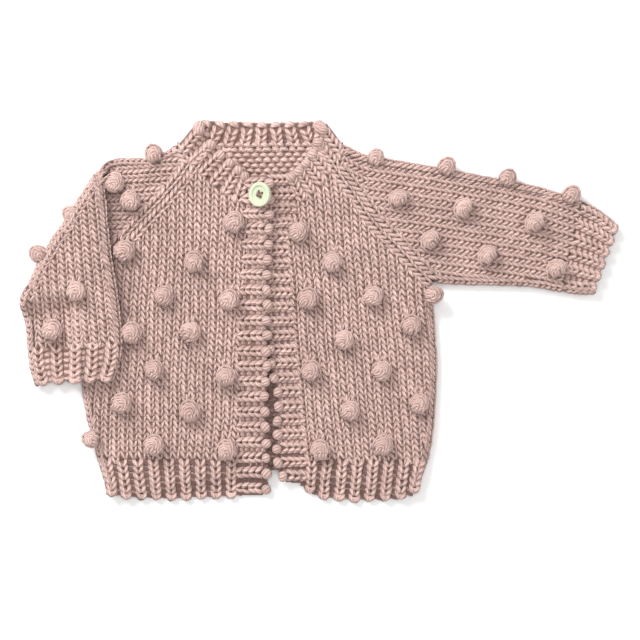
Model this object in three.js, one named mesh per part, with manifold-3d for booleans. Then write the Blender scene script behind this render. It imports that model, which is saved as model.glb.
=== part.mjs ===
// A hand-knitted baby cardigan with bobbles, buttoned at the neck and laid flat on its back.
// X runs to the viewer's right, Y from the hems up to the neck, Z up from the surface that
// it lies on. "Right" and "left" in the names are the wearer's, so the right front is at -X.
// Each knitted piece is a plate of cloth between a lower and an upper height over a plan grid.
import * as THREE from 'three';
import { mergeVertices } from 'three/addons/utils/BufferGeometryUtils.js';
import Module from 'manifold-3d';

const wasm = await Module();
wasm.setup();

// Cloth, in mm
const WALL = 3.8;
const PLY_GAP = 0.4;
const LAYER = WALL + PLY_GAP;
const TWO_LAYERS = LAYER + WALL;
const FOLD_RADIUS = TWO_LAYERS / 2;
const SEAM = 0.5;
const RIM = 0.5;
const EDGE_TAPER = 0.8;

// Ribbing: depth from the top of a rib to its valley, and the points sampled on each rib
const RIB_DEPTH = 1.3;
const RIB_STEPS = 4;
const HEM_RIBS = { right: 9, left: 8 };
const CUFF_RIBS = 6;
const BAND_RIBS = { right: 21, left: 22 };
const NECK_RIBS = { right: 5, back: 8, left: 5 };

// Bobbles: egg shapes set a little into the wall
const BOBBLE_RADIUS = 7.2;
const BOBBLE_HALF_HEIGHT = 6.2;
const BOBBLE_LIFT = 2.6;
const EDGE_BOBBLE_HEIGHT = 7;
const SIDE_BOBBLE_HEIGHT = 10.4;

// Back hem: its lower edge is an arc, higher in the middle than the front hems
const BODY_MIDDLE = -43;
const BODY_HALF = 117;
const BACK_HEM_MIDDLE = -119.3;
const BACK_HEM_FALL = 19;
const HEM_TOP = -114;

// The right front laps over the left band above this stretch of Y
const LAP_ENDS = -58;
const LAP_SETTLES = -80;
const LAP_RAMP = 12;

// The right sleeve is folded over along a slanting line and lies on itself and on the body
const SLEEVE_LIFT = TWO_LAYERS + 0.8;
const NOSE_DEPTH = 9.2;
const NOSE_RUN = 2 * NOSE_DEPTH;
const RAMP_START = 0.5;
const RAMP_END = 18;

// Button: a dished four-hole button, tipped up on its right side
const BUTTON_RADIUS = 9.3;
const BUTTON_PLACE = { x: -45.6, y: 87.8, z: 16.2 };
const BUTTON_TILT = THREE.MathUtils.degToRad(32);
const HOLE_OFFSET = 2.3;
const HOLE_RADIUS = 1.15;
const HOLE_TURN = THREE.MathUtils.degToRad(20);
const THREAD_RADIUS = 0.8;
const SHANK_RADIUS = 1.4;
const BUTTONHOLE = { width: 6, height: 4 };

// Body, row by row from the neck to the hems: the x of both sides and both front edges
const BODY = [
  { y: 112, rightSide: -98, rightFront: -96, leftFront: 8.6, leftSide: 10.4 },
  { y: 101, rightSide: -105, rightFront: -86, leftFront: 3, leftSide: 17.9 },
  { y: 91.5, rightSide: -113.2, rightFront: -73.3, leftFront: -6.5, leftSide: 25.3 },
  { y: 82, rightSide: -121.6, rightFront: -57, leftFront: -18, leftSide: 32.1 },
  { y: 71, rightSide: -132.4, rightFront: -55.5, leftFront: -22.4, leftSide: 39.1 },
  { y: 60, rightSide: -142.3, rightFront: -55.5, leftFront: -25, leftSide: 48.6 },
  { y: 49, rightSide: -153.6, rightFront: -57, leftFront: -26, leftSide: 60.4 },
  { y: 37, rightSide: -163.6, rightFront: -57.8, leftFront: -25.5, leftSide: 70.7 },
  { y: 22, rightSide: -172.5, rightFront: -58.5, leftFront: -24, leftSide: 85 },
  { y: 4, rightSide: -176.3, rightFront: -59.3, leftFront: -22.6, leftSide: 86 },
  { y: -15, rightSide: -179.4, rightFront: -60, leftFront: -21, leftSide: 87.2 },
  { y: -38, rightSide: -181, rightFront: -60.4, leftFront: -19, leftSide: 88.9 },
  { y: -62, rightSide: -180.9, rightFront: -60.8, leftFront: -16.2, leftSide: 88.2 },
  { y: -85, rightSide: -177, rightFront: -60.8, leftFront: -13.7, leftSide: 86.6 },
  { y: -101, rightSide: -172.1, rightFront: -61, leftFront: -12.3, leftSide: 84.7 },
  { y: HEM_TOP, rightSide: -169.2, rightFront: -61.5, leftFront: -12.2, leftSide: 82 },
];
const UNDERARM_Y = 22;
const BACK_NECK = { y: 123.4, rightSide: -88.5, leftSide: 0.5 };

// Hems: lower edge, from the side fold to the front edge
const RIGHT_HEM_EDGE = [
  { x: -161.5, y: -136.5 }, { x: -158, y: -141 }, { x: -148, y: -143.2 },
  { x: -110, y: -144.2 }, { x: -62.3, y: -142.4 },
];
const LEFT_HEM_EDGE = [
  { x: 74.8, y: -134 }, { x: 69, y: -141.2 }, { x: 60, y: -143.8 }, { x: 27, y: -145.6 },
  { x: 0, y: -143.4 }, { x: -6, y: -139.8 }, { x: -11.8, y: -134.5 },
];

// Bands, row by row: the line where they were picked up and their bound-off outer edge
const RIGHT_BAND = [
  { y: 102.6, pickUp: -53, outer: -38 }, { y: 99, pickUp: -53.6, outer: -35.6 },
  { y: 82, pickUp: -56.3, outer: -35 }, { y: 71, pickUp: -55, outer: -35.4 },
  { y: 60, pickUp: -55, outer: -35.7 }, { y: 49, pickUp: -56.4, outer: -36.2 },
  { y: 22, pickUp: -57.9, outer: -37 }, { y: -15, pickUp: -59.4, outer: -37.2 },
  { y: -53, pickUp: -60.1, outer: -37.8 }, { y: -70, pickUp: -60.2, outer: -38.9 },
  { y: -106, pickUp: -60.5, outer: -38 }, { y: -129, pickUp: -61.3, outer: -37.4 },
  { y: -137, pickUp: -61.6, outer: -38.2 }, { y: -141.4, pickUp: -61.7, outer: -41.5 },
];
const LEFT_BAND = [
  { y: 104.4, pickUp: -29.5, outer: -41 }, { y: 100, pickUp: -27.4, outer: -47 },
  { y: 82, pickUp: -19, outer: -48.6 }, { y: 71, pickUp: -23, outer: -48.6 },
  { y: 60, pickUp: -25.6, outer: -48.6 }, { y: 49, pickUp: -26.5, outer: -48.3 },
  { y: 37, pickUp: -26, outer: -47.9 },
  { y: 4, pickUp: -23.2, outer: -44.8 }, { y: -38, pickUp: -19.6, outer: -41 },
  { y: -49, pickUp: -18.4, outer: -39.6 }, { y: -56, pickUp: -17.6, outer: -36.6 },
  { y: -68, pickUp: -16.3, outer: -35 }, { y: -101, pickUp: -12.9, outer: -35.7 },
  { y: -118, pickUp: -12.8, outer: -35.3 }, { y: -127, pickUp: -12.8, outer: -31.4 },
  { y: -132, pickUp: -12.8, outer: -24 },
];

// Neckband, station by station from the front edge to the shoulder fold: the point on the
// line where it was picked up and the point on its bound-off edge
const NECK_RIGHT = [
  { x: -57.2, y: 82.6, edgeX: -54.2, edgeY: 103.4 }, { x: -73.1, y: 92.1, edgeX: -60.8, edgeY: 110.2 },
  { x: -85.7, y: 101.6, edgeX: -69.9, edgeY: 117.8 }, { x: -95.2, y: 112.2, edgeX: -78.3, edgeY: 126.2 },
  { x: -100.6, y: 119, edgeX: -85.9, edgeY: 135.3 }, { x: -106.4, y: 127.7, edgeX: -92.7, edgeY: 144.6 },
];
const NECK_LEFT = [
  { x: -18.2, y: 83, edgeX: -26.6, edgeY: 101.8 }, { x: -7, y: 92.2, edgeX: -18.2, edgeY: 108.7 },
  { x: 2.5, y: 101.6, edgeX: -10.6, edgeY: 117 }, { x: 8, y: 112.4, edgeX: -5.3, edgeY: 127.7 },
  { x: 12.2, y: 121.6, edgeX: -1.5, edgeY: 137.5 }, { x: 16, y: 127.4, edgeX: 3.8, edgeY: 144.2 },
];
const NECK_BACK = [
  { x: -104.4, y: 127.3, edgeX: -90.6, edgeY: 144.2 }, { x: -88.5, y: 124, edgeX: -78, edgeY: 142.9 },
  { x: 0.5, y: 124, edgeX: -9, edgeY: 142.7 }, { x: 14, y: 127, edgeX: 1.8, edgeY: 143.8 },
];

// Left sleeve, station by station from the neck to the cuff: shoulder fold and underarm fold
const LEFT_SLEEVE = [
  { topX: 16.6, topY: 126.4, lowX: 85.5, lowY: 22 }, { topX: 32.7, topY: 118, lowX: 95, lowY: 20.5 },
  { topX: 53.2, topY: 114.4, lowX: 107.9, lowY: 19.8 }, { topX: 79.8, topY: 110.2, lowX: 124.6, lowY: 19.4 },
  { topX: 106.4, topY: 105.3, lowX: 140.6, lowY: 19 }, { topX: 136.8, topY: 99.6, lowX: 156.6, lowY: 18.6 },
  { topX: 168.7, topY: 93.1, lowX: 171, lowY: 16.7 }, { topX: 199.4, topY: 83, lowX: 183.6, lowY: 14.4 },
];
const LEFT_CUFF = [
  { topX: 199.9, topY: 82.8, lowX: 184.1, lowY: 14.3 }, { topX: 214.5, topY: 75, lowX: 197, lowY: 12.4 },
  { topX: 226.8, topY: 64.5, lowX: 208.4, lowY: 12.4 },
];

// Right sleeve: the part from the raglan line to the fold, and the part folded down over it
const RIGHT_SLEEVE_TOP = [
  { x: -107, y: 126.8 }, { x: -117.8, y: 120.3 }, { x: -131.5, y: 115.2 }, { x: -146, y: 115.2 },
  { x: -156, y: 115.4 }, { x: -162.6, y: 113.4 },
];
const RIGHT_SLEEVE_LOW = [{ x: -173, y: 22 }, { x: -194, y: 18.4 }, { x: -211.5, y: 13.6 }];
const RIGHT_SLEEVE_END = [
  { x: -162.6, y: 113.4 }, { x: -163.4, y: 105 }, { x: -162.6, y: 97 }, { x: -169, y: 84 },
  { x: -180.6, y: 67 }, { x: -193.4, y: 47.4 }, { x: -203.4, y: 30.4 }, { x: -211.5, y: 13.6 },
];
const FOLD_LINE = [
  { x: -226.5, y: 11 }, { x: -220.4, y: 24.3 }, { x: -214.3, y: 37.2 }, { x: -204.4, y: 54.7 },
  { x: -197.6, y: 64 }, { x: -191.5, y: 73.7 }, { x: -185.4, y: 83.2 }, { x: -180.1, y: 91.4 },
  { x: -173.3, y: 101.8 }, { x: -166.6, y: 108.4 },
];
const FOLDED_OUTER_EDGE = [
  { x: -226.5, y: 11 }, { x: -228, y: 5 }, { x: -226.6, y: -2 }, { x: -223.5, y: -13 },
  { x: -222.7, y: -30 },
];
const FOLDED_BODY_EDGE = [
  { x: -166.6, y: 108.4 }, { x: -163.9, y: 91 }, { x: -161.9, y: 64.6 }, { x: -158.8, y: 39.5 },
  { x: -155, y: 15.2 }, { x: -152, y: -7.6 }, { x: -150.9, y: -24.6 },
];
const RIGHT_CUFF = [
  { topX: -222.6, topY: -30.6, lowX: -150.8, lowY: -25.2 },
  { topX: -221, topY: -44, lowX: -152.4, lowY: -40 },
  { topX: -217, topY: -56.8, lowX: -157.6, lowY: -53 },
];

// Bobbles: places on each piece; a height is given only where one sits on a folded edge
const BOBBLES = {
  right_front: [
    { x: -65.4, y: 66.9 }, { x: -69.2, y: 7.6 }, { x: -71.4, y: -50.2 }, { x: -71.4, y: -106.4 },
    { x: -95.8, y: 36.5 }, { x: -98.8, y: -16.7 }, { x: -98.8, y: -76.8 }, { x: -118.6, y: 10.6 },
    { x: -126.2, y: -45.6 }, { x: -126.2, y: -102.6 }, { x: -148.8, y: 45.2 },
    { x: -143.4, y: -17.5 }, { x: -151.2, y: -70.7 }, { x: -174.5, y: -98.4, z: SIDE_BOBBLE_HEIGHT },
  ],
  left_front: [
    { x: -16.4, y: 59.3 }, { x: -9.1, y: 8.4 }, { x: -6.8, y: -46.4 }, { x: 0, y: -106.4 },
    { x: 9.1, y: 36.5 }, { x: 18.2, y: -22.8 }, { x: 22.8, y: -76.8 }, { x: 40.3, y: 10.6 },
    { x: 47.1, y: -46.4 }, { x: 47.9, y: -102.6 }, { x: 69.2, y: -11.4 }, { x: 75.2, y: -71.4 },
    { x: 86.5, y: 11.6, z: SIDE_BOBBLE_HEIGHT },
  ],
  right_sleeve_upper: [
    { x: -156.6, y: 97 }, { x: -144.4, y: 83.4 }, { x: -126.9, y: 119.3, z: EDGE_BOBBLE_HEIGHT },
  ],
  right_sleeve_lower: [
    { x: -189.6, y: 73.2, z: 9 }, { x: -214.6, y: 43, z: 9 }, { x: -184.7, y: 13.7 },
    { x: -203.7, y: -15.2 },
  ],
  left_sleeve: [
    { x: 42.6, y: 116.4, z: EDGE_BOBBLE_HEIGHT }, { x: 96.5, y: 109.6, z: EDGE_BOBBLE_HEIGHT },
    { x: 142.9, y: 100.6, z: EDGE_BOBBLE_HEIGHT }, { x: 191.6, y: 88, z: EDGE_BOBBLE_HEIGHT },
    { x: 59.3, y: 85.1 }, { x: 108.7, y: 77.5 }, { x: 163.4, y: 66.9 }, { x: 83.6, y: 53.2 },
    { x: 126.9, y: 41.8 }, { x: 179.6, y: 31.9 },
  ],
};

const { lerp, smoothstep } = THREE.MathUtils;

// Value of a named column at a height y, straight between the rows of a table that runs down
function columnAt(table, name, y) {
  let i = 0;
  while (i < table.length - 2 && y < table[i + 1].y) {
    i += 1;
  }
  const share = (table[i].y - y) / (table[i].y - table[i + 1].y);
  return lerp(table[i][name], table[i + 1][name], share);
}

// Shares of a line's whole length at which its points lie, from 0 to 1
function sharesOf(line) {
  const lengths = [0];
  for (let i = 1; i < line.length; i += 1) {
    lengths.push(lengths[i - 1] + Math.hypot(line[i].x - line[i - 1].x, line[i].y - line[i - 1].y));
  }
  return lengths.map((length) => length / lengths.at(-1));
}

// Row of a table at a share of its length, straight between rows and carried on past the ends
function rowAt(table, share, shares) {
  let i = 0;
  while (i < table.length - 2 && share > shares[i + 1]) {
    i += 1;
  }
  const part = (share - shares[i]) / (shares[i + 1] - shares[i]);
  const row = {};
  for (const name of Object.keys(table[i])) {
    row[name] = lerp(table[i][name], table[i + 1][name], part);
  }
  return row;
}

function distanceTo(line, x, y) {
  const point = new THREE.Vector3(x, y, 0);
  const nearest = new THREE.Vector3();
  let least = Infinity;
  for (let i = 1; i < line.length; i += 1) {
    const from = new THREE.Vector3(line[i - 1].x, line[i - 1].y, 0);
    const to = new THREE.Vector3(line[i].x, line[i].y, 0);
    new THREE.Line3(from, to).closestPointToPoint(point, true, nearest);
    least = Math.min(least, nearest.distanceTo(point));
  }
  return least;
}

function isInside(outline, x, y) {
  let inside = false;
  outline.forEach((a, i) => {
    const b = outline[(i + 1) % outline.length];
    const crosses = (a.y > y) !== (b.y > y);
    if (crosses && x < a.x + ((y - a.y) / (b.y - a.y)) * (b.x - a.x)) {
      inside = !inside;
    }
  });
  return inside;
}

// 0 at a rounded edge, 1 from one radius inwards
function roundness(distance, radius) {
  const inward = Math.min(distance / radius, 1);
  return Math.sqrt(1 - (1 - inward) ** 2);
}

// Rib relief at a share of the way along ribbing: 0 on a rib, RIB_DEPTH in a valley
function ribValley(share, count) {
  return (RIB_DEPTH / 2) * (1 - Math.cos(2 * Math.PI * (count * share - 0.5)));
}

function evenShares(count) {
  return Array.from({ length: count + 1 }, (_, i) => i / count);
}

// Closed plate over a plan grid; each point has x, y and its low and high surface
function plate(rows) {
  const rowCount = rows.length;
  const columnCount = rows[0].length;
  const positions = [];
  for (const surface of ['high', 'low']) {
    for (const point of rows.flat()) {
      positions.push(point.x, point.y, point[surface]);
    }
  }
  const lowStart = rowCount * columnCount;
  const indices = [];
  const quad = (a, b, c, d) => indices.push(a, b, c, a, c, d);
  for (let r = 0; r < rowCount - 1; r += 1) {
    for (let c = 0; c < columnCount - 1; c += 1) {
      const a = r * columnCount + c;
      const b = a + columnCount;
      quad(a, b, b + 1, a + 1);
      quad(lowStart + a, lowStart + a + 1, lowStart + b + 1, lowStart + b);
    }
  }
  const border = [];
  for (let c = 0; c < columnCount - 1; c += 1) {
    border.push(c);
  }
  for (let r = 0; r < rowCount - 1; r += 1) {
    border.push(r * columnCount + columnCount - 1);
  }
  for (let c = columnCount - 1; c > 0; c -= 1) {
    border.push((rowCount - 1) * columnCount + c);
  }
  for (let r = rowCount - 1; r > 0; r -= 1) {
    border.push(r * columnCount);
  }
  border.forEach((a, i) => {
    const b = border[(i + 1) % border.length];
    quad(a, b, lowStart + b, lowStart + a);
  });
  const geometry = new THREE.BufferGeometry();
  geometry.setAttribute('position', new THREE.Float32BufferAttribute(positions, 3));
  geometry.setIndex(indices);
  return facingOut(geometry);
}

// The same geometry with its faces turned outwards
function facingOut(geometry) {
  const position = geometry.getAttribute('position');
  const index = Array.from(geometry.index.array);
  const corner = [new THREE.Vector3(), new THREE.Vector3(), new THREE.Vector3()];
  let volume = 0;
  for (let i = 0; i < index.length; i += 3) {
    corner.forEach((vector, k) => vector.fromBufferAttribute(position, index[i + k]));
    volume += corner[0].dot(corner[1].clone().cross(corner[2]));
  }
  if (volume < 0) {
    for (let i = 0; i < index.length; i += 3) {
      [index[i], index[i + 1]] = [index[i + 1], index[i]];
    }
    geometry.setIndex(index);
  }
  return geometry;
}

function toSolid(geometry) {
  const bare = geometry.clone();
  bare.deleteAttribute('normal');
  bare.deleteAttribute('uv');
  const merged = mergeVertices(bare, 1e-4);
  const triangles = [];
  for (let i = 0; i < merged.index.count; i += 3) {
    const [a, b, c] = [0, 1, 2].map((k) => merged.index.getX(i + k));
    if (a !== b && b !== c && a !== c) {
      triangles.push(a, b, c);
    }
  }
  const mesh = new wasm.Mesh({
    numProp: 3,
    vertProperties: new Float32Array(merged.getAttribute('position').array),
    triVerts: new Uint32Array(triangles),
  });
  return new wasm.Manifold(mesh);
}

function toGeometry(solid) {
  const mesh = solid.getMesh();
  const geometry = new THREE.BufferGeometry();
  geometry.setAttribute('position', new THREE.BufferAttribute(mesh.vertProperties, 3));
  geometry.setIndex(new THREE.BufferAttribute(mesh.triVerts, 1));
  return geometry;
}

function join(geometries) {
  return toGeometry(geometries.map(toSolid).reduce((whole, piece) => whole.add(piece)));
}

function cut(geometry, tool) {
  return toGeometry(toSolid(geometry).subtract(toSolid(tool)));
}

function bobble(place, surface) {
  const egg = new THREE.SphereGeometry(1, 8, 5);
  egg.rotateX(Math.PI / 2);
  egg.scale(BOBBLE_RADIUS, BOBBLE_RADIUS, BOBBLE_HALF_HEIGHT);
  egg.translate(place.x, place.y, place.z ?? surface(place.x, place.y) + BOBBLE_LIFT);
  return egg;
}

function withBobbles(geometry, name, surface) {
  return join([geometry, ...BOBBLES[name].map((place) => bobble(place, surface))]);
}

// Folds of the body and the heights of its layers
function sideFold(name, hemEdge) {
  const rows = BODY.filter((row) => row.y <= UNDERARM_Y);
  return [...rows.map((row) => ({ x: row[name], y: row.y })), hemEdge[0]];
}
const RIGHT_SIDE_FOLD = sideFold('rightSide', RIGHT_HEM_EDGE);
const LEFT_SIDE_FOLD = sideFold('leftSide', LEFT_HEM_EDGE);

function bodyRoundness(x, y) {
  const distance = Math.min(distanceTo(RIGHT_SIDE_FOLD, x, y), distanceTo(LEFT_SIDE_FOLD, x, y));
  return roundness(distance, FOLD_RADIUS);
}

function backHemEdge(x) {
  return BACK_HEM_MIDDLE - BACK_HEM_FALL * ((x - BODY_MIDDLE) / BODY_HALF) ** 2;
}

// Underside of the top layer: on the back, and down to the surface past the back's hem
function leftBase(x, y) {
  return LAYER * (1 - smoothstep(backHemEdge(x) - y, 2, 16));
}

// The right front and its band also climb over the left band where they lap it
function rightBase(x, y) {
  const clear = columnAt(LEFT_BAND, 'outer', Math.min(y, LEFT_BAND[1].y)) - x;
  const climb = 1 - smoothstep(clear, 1, LAP_RAMP);
  return leftBase(x, y) + LAYER * climb * smoothstep(y, LAP_SETTLES, LAP_ENDS);
}

function frontPoint(x, y, base) {
  const low = base(x, y);
  return { x, y, low, high: low + Math.max(WALL * bodyRoundness(x, y), RIM) };
}

// Fronts, from the side (raglan line, then side fold) to the front edge
const SIDE_STEPS = [0, 0.5, 1.8, FOLD_RADIUS];
const NARROWEST_STEPS = 10;
const FRONT_COLUMNS = 9;
const BACK_COLUMNS = 7;
function frontPanel(sideName, frontName, base) {
  return plate(BODY.map((row) => {
    const width = row[frontName] - row[sideName];
    const steps = SIDE_STEPS.map((step) => step / Math.max(Math.abs(width), NARROWEST_STEPS));
    const inner = evenShares(FRONT_COLUMNS).slice(1).map((share) => lerp(steps.at(-1), 1, share));
    return [...steps, ...inner].map((share) => frontPoint(row[sideName] + share * width, row.y, base));
  }));
}

function bobbledFront(side, base) {
  const panel = frontPanel(`${side}Side`, `${side}Front`, base);
  return withBobbles(panel, `${side}_front`, (x, y) => base(x, y) + WALL);
}

// Back, from side to side, its lower rows drawn up in the middle like the hem below it
function backRise(share, y) {
  return BACK_HEM_FALL * (1 - (2 * share - 1) ** 2) * smoothstep(-y, 10, -HEM_TOP);
}

function backPoint(x, y) {
  return { x, y, low: Math.min(WALL * (1 - bodyRoundness(x, y)), WALL - RIM), high: WALL };
}

function acrossBody(left, right) {
  const width = right - left;
  const steps = SIDE_STEPS.map((step) => step / width);
  const edge = steps.at(-1);
  const inner = evenShares(BACK_COLUMNS).slice(1, -1).map((share) => lerp(edge, 1 - edge, share));
  return [...steps, ...inner, ...steps.map((step) => 1 - step).reverse()];
}

function backPanel() {
  return plate([BACK_NECK, ...BODY].map((row) => acrossBody(row.rightSide, row.leftSide).map((share) => {
    const x = lerp(row.rightSide, row.leftSide, share);
    return backPoint(x, row.y + backRise(share, row.y));
  })));
}

// Back hem, plain because it lies under the fronts, rounded off at its lower edge
function backHem() {
  const last = BODY.at(-1);
  return plate([0, 0.4, 0.8, 1].map((down) => {
    const left = lerp(last.rightSide, RIGHT_HEM_EDGE[0].x, down);
    const right = lerp(last.leftSide, LEFT_HEM_EDGE[0].x, down);
    return acrossBody(left, right).map((share) => {
      const x = lerp(left, right, share);
      const top = HEM_TOP - SEAM + backRise(share, HEM_TOP);
      const bottom = backHemEdge(x);
      const point = backPoint(x, lerp(top, bottom, down));
      if (down === 1) {
        point.low = Math.max(point.low, EDGE_TAPER);
        point.high = Math.max(point.high - EDGE_TAPER, point.low + RIM);
      }
      return point;
    });
  }));
}

// Front hem, ribbed, from the side fold to the front edge
function frontHem(sideName, frontName, edge, ribs, base) {
  const last = BODY.at(-1);
  const edgeShares = sharesOf(edge);
  const columns = evenShares(ribs * RIB_STEPS);
  return plate([0, 0.35, 0.7, 0.93, 1].map((down) => columns.map((share) => {
    const below = rowAt(edge, share, edgeShares);
    const x = lerp(lerp(last[sideName], last[frontName], share), below.x, down);
    const y = lerp(HEM_TOP - SEAM, below.y, down);
    const point = frontPoint(x, y, base);
    const taper = down === 1 ? EDGE_TAPER : 0;
    point.high -= Math.min(ribValley(share, ribs) + taper, point.high - point.low - RIM);
    return point;
  })));
}

// Button band: ribs run across it, so they follow each other along its length
function band(table, ribs, base) {
  const last = table.length - 1;
  return plate(evenShares(ribs * RIB_STEPS).map((share) => {
    const y = lerp(table[0].y, table[last].y, share);
    const pickUp = columnAt(table, 'pickUp', y);
    const outer = columnAt(table, 'outer', y);
    const valley = ribValley(share, ribs);
    return [0, 0.45, 0.9, 1].map((out) => {
      const x = lerp(pickUp, outer, out);
      const taper = out === 1 ? EDGE_TAPER : 0;
      const low = base(x, y) + taper;
      const high = base(x, y) + WALL - valley - taper;
      return { x, y, low, high };
    });
  }));
}

// Neckband: front strips lie on the back strip and are joined to it at the shoulder folds
const NECK_FOLD_SHARES = [0.915, 0.93, 0.965, 0.99, 1];
function neckFrontStrip(table, ribs, base) {
  const shoulder = table.at(-1);
  const foldLine = [{ x: shoulder.x, y: shoulder.y }, { x: shoulder.edgeX, y: shoulder.edgeY }];
  const shares = evenShares(table.length - 1);
  const along = [...evenShares(ribs * RIB_STEPS).filter((share) => share < 0.9), ...NECK_FOLD_SHARES];
  return plate(along.map((share) => {
    const row = rowAt(table, share, shares);
    return evenShares(3).map((out) => {
      const x = lerp(row.x, row.edgeX, out);
      const y = lerp(row.y, row.edgeY, out);
      const distance = distanceTo(foldLine, x, y);
      const half = Math.max(FOLD_RADIUS * roundness(distance, FOLD_RADIUS), RIM / 2);
      const folded = share >= NECK_FOLD_SHARES[1];
      const low = folded ? FOLD_RADIUS - half : base(x, y);
      const high = folded ? FOLD_RADIUS + half : base(x, y) + WALL - ribValley(share, ribs);
      return { x, y, low, high };
    });
  }));
}

function neckBackStrip() {
  const shares = sharesOf(NECK_BACK);
  return plate(evenShares(NECK_RIBS.back * RIB_STEPS).map((share) => {
    const row = rowAt(NECK_BACK, share, shares);
    const high = WALL - ribValley(share, NECK_RIBS.back);
    return [0, 0.5, 1].map((out) => ({
      x: lerp(row.x, row.edgeX, out), y: lerp(row.y, row.edgeY, out), low: 0, high,
    }));
  }));
}

function neckband() {
  return join([
    neckBackStrip(),
    neckFrontStrip(NECK_RIGHT, NECK_RIBS.right, rightBase),
    neckFrontStrip(NECK_LEFT, NECK_RIBS.left, () => LAYER),
  ]);
}

// Plan patch between four lines: s runs from the start line to the end line, t across
function patch(start, end, first, second) {
  const [startShares, endShares, firstShares, secondShares] = [start, end, first, second].map(sharesOf);
  return (s, t) => {
    const [a, b] = [rowAt(start, t, startShares), rowAt(end, t, endShares)];
    const [c, d] = [rowAt(first, s, firstShares), rowAt(second, s, secondShares)];
    const blend = (name) => lerp(a[name], b[name], s) + lerp(c[name], d[name], t)
      - lerp(lerp(start[0][name], start.at(-1)[name], t), lerp(end[0][name], end.at(-1)[name], t), s);
    return { x: blend('x'), y: blend('y') };
  };
}

function edgeOf(table, name) {
  return table.map((row) => ({ x: row[`${name}X`], y: row[`${name}Y`] }));
}

// Raglan line of a sleeve with its stretch of the neck, from the shoulder to the underarm
function raglan(sideName, shoulder, nearNeck, outward) {
  const rows = BODY.filter((row) => row.y >= UNDERARM_Y);
  return [shoulder, nearNeck, ...rows.map((row) => ({ x: row[sideName] + outward * SEAM, y: row.y }))];
}
const LEFT_RAGLAN = raglan('leftSide', { x: 16.6, y: 126.4 }, { x: 13.2, y: 121 }, 1);
const RIGHT_RAGLAN = raglan('rightSide', RIGHT_SLEEVE_TOP[0], { x: -101.9, y: 118.4 }, -1);

// Columns across a tube: close together in its two rounded folds
const FOLD_SHARES = [0, 0.004, 0.014, 0.032];
function tubeShares(inner) {
  const kept = inner.filter((share) => share > 0.04 && share < 0.96);
  return [...FOLD_SHARES, ...kept, ...FOLD_SHARES.map((share) => 1 - share).reverse()];
}

// The slit inside a flattened tube: shares of its width and length
const SLIT_INSET = 0.06;
const SLIT_COLUMNS = 8;
const SLIT_PAST_END = 0.03;

// Flattened tube over a patch, lying at the height that rest(x, y) gives, with the slit
// between its two layers open at both ends
function tube({ place, folds, across, along, rest, valley = () => 0 }) {
  const thick = (x, y) => {
    const distance = Math.min(...folds.map((fold) => distanceTo(fold, x, y)));
    return Math.max(FOLD_RADIUS * roundness(distance, FOLD_RADIUS), RIM / 2);
  };
  const outer = plate(along.map((s) => across.map((t) => {
    const { x, y } = place(s, t);
    const middle = rest(x, y) + FOLD_RADIUS;
    const half = thick(x, y);
    const high = middle + Math.max(half - valley(t), RIM / 2);
    return { x, y, low: middle - half, high };
  })));
  const [slitFrom, slitTo] = [-SLIT_PAST_END, 1 + SLIT_PAST_END];
  const slitAlong = evenShares(along.length - 1).map((share) => lerp(slitFrom, slitTo, share));
  const slitAcross = evenShares(SLIT_COLUMNS).map((share) => lerp(SLIT_INSET, 1 - SLIT_INSET, share));
  const slit = plate(slitAlong.map((s) => slitAcross.map((t) => {
    const { x, y } = place(s, t);
    const middle = rest(x, y) + FOLD_RADIUS;
    return { x, y, low: middle - PLY_GAP / 2, high: middle + PLY_GAP / 2 };
  })));
  return cut(outer, slit);
}

// Lower layer of a sleeve between its own neck edge and the back's raglan line
function neckCorner(points) {
  const row = (list) => list.map((point) => ({ ...point, low: 0, high: WALL }));
  return plate([row(points.slice(0, 2)), row(points.slice(2))]);
}

function leftSleeve() {
  const top = edgeOf(LEFT_SLEEVE, 'top');
  const low = edgeOf(LEFT_SLEEVE, 'low');
  const end = [top.at(-1), low.at(-1)];
  const sleeve = tube({
    place: patch(LEFT_RAGLAN, end, top, low),
    folds: [top, low],
    across: tubeShares(sharesOf(LEFT_RAGLAN)),
    along: evenShares(10),
    rest: () => 0,
  });
  const corner = neckCorner([
    { x: 17.6, y: 124.4 }, { x: 1.4, y: 122.9 }, { x: 16, y: 117 }, { x: 11.4, y: 111.5 },
  ]);
  return join([withBobbles(sleeve, 'left_sleeve', () => TWO_LAYERS), corner]);
}

function cuff(table, rest) {
  const top = edgeOf(table, 'top');
  const low = edgeOf(table, 'low');
  const ribShares = evenShares(CUFF_RIBS * RIB_STEPS);
  return tube({
    place: patch([top[0], low[0]], [top.at(-1), low.at(-1)], top, low),
    folds: [top, low],
    across: tubeShares(ribShares),
    along: evenShares(4),
    rest,
    valley: (t) => ribValley(t, CUFF_RIBS),
  });
}

function rightSleeveUpper() {
  const sleeve = tube({
    place: patch(RIGHT_RAGLAN, RIGHT_SLEEVE_END, RIGHT_SLEEVE_TOP, RIGHT_SLEEVE_LOW),
    folds: [RIGHT_SLEEVE_TOP, RIGHT_SLEEVE_LOW],
    across: tubeShares(sharesOf(RIGHT_RAGLAN)),
    along: evenShares(5),
    rest: () => 0,
  });
  const corner = neckCorner([
    { x: -108, y: 124.6 }, { x: -89.4, y: 122.9 }, { x: -105, y: 117 }, { x: -99, y: 111.5 },
  ]);
  return join([withBobbles(sleeve, 'right_sleeve_upper', () => TWO_LAYERS), corner]);
}

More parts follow.
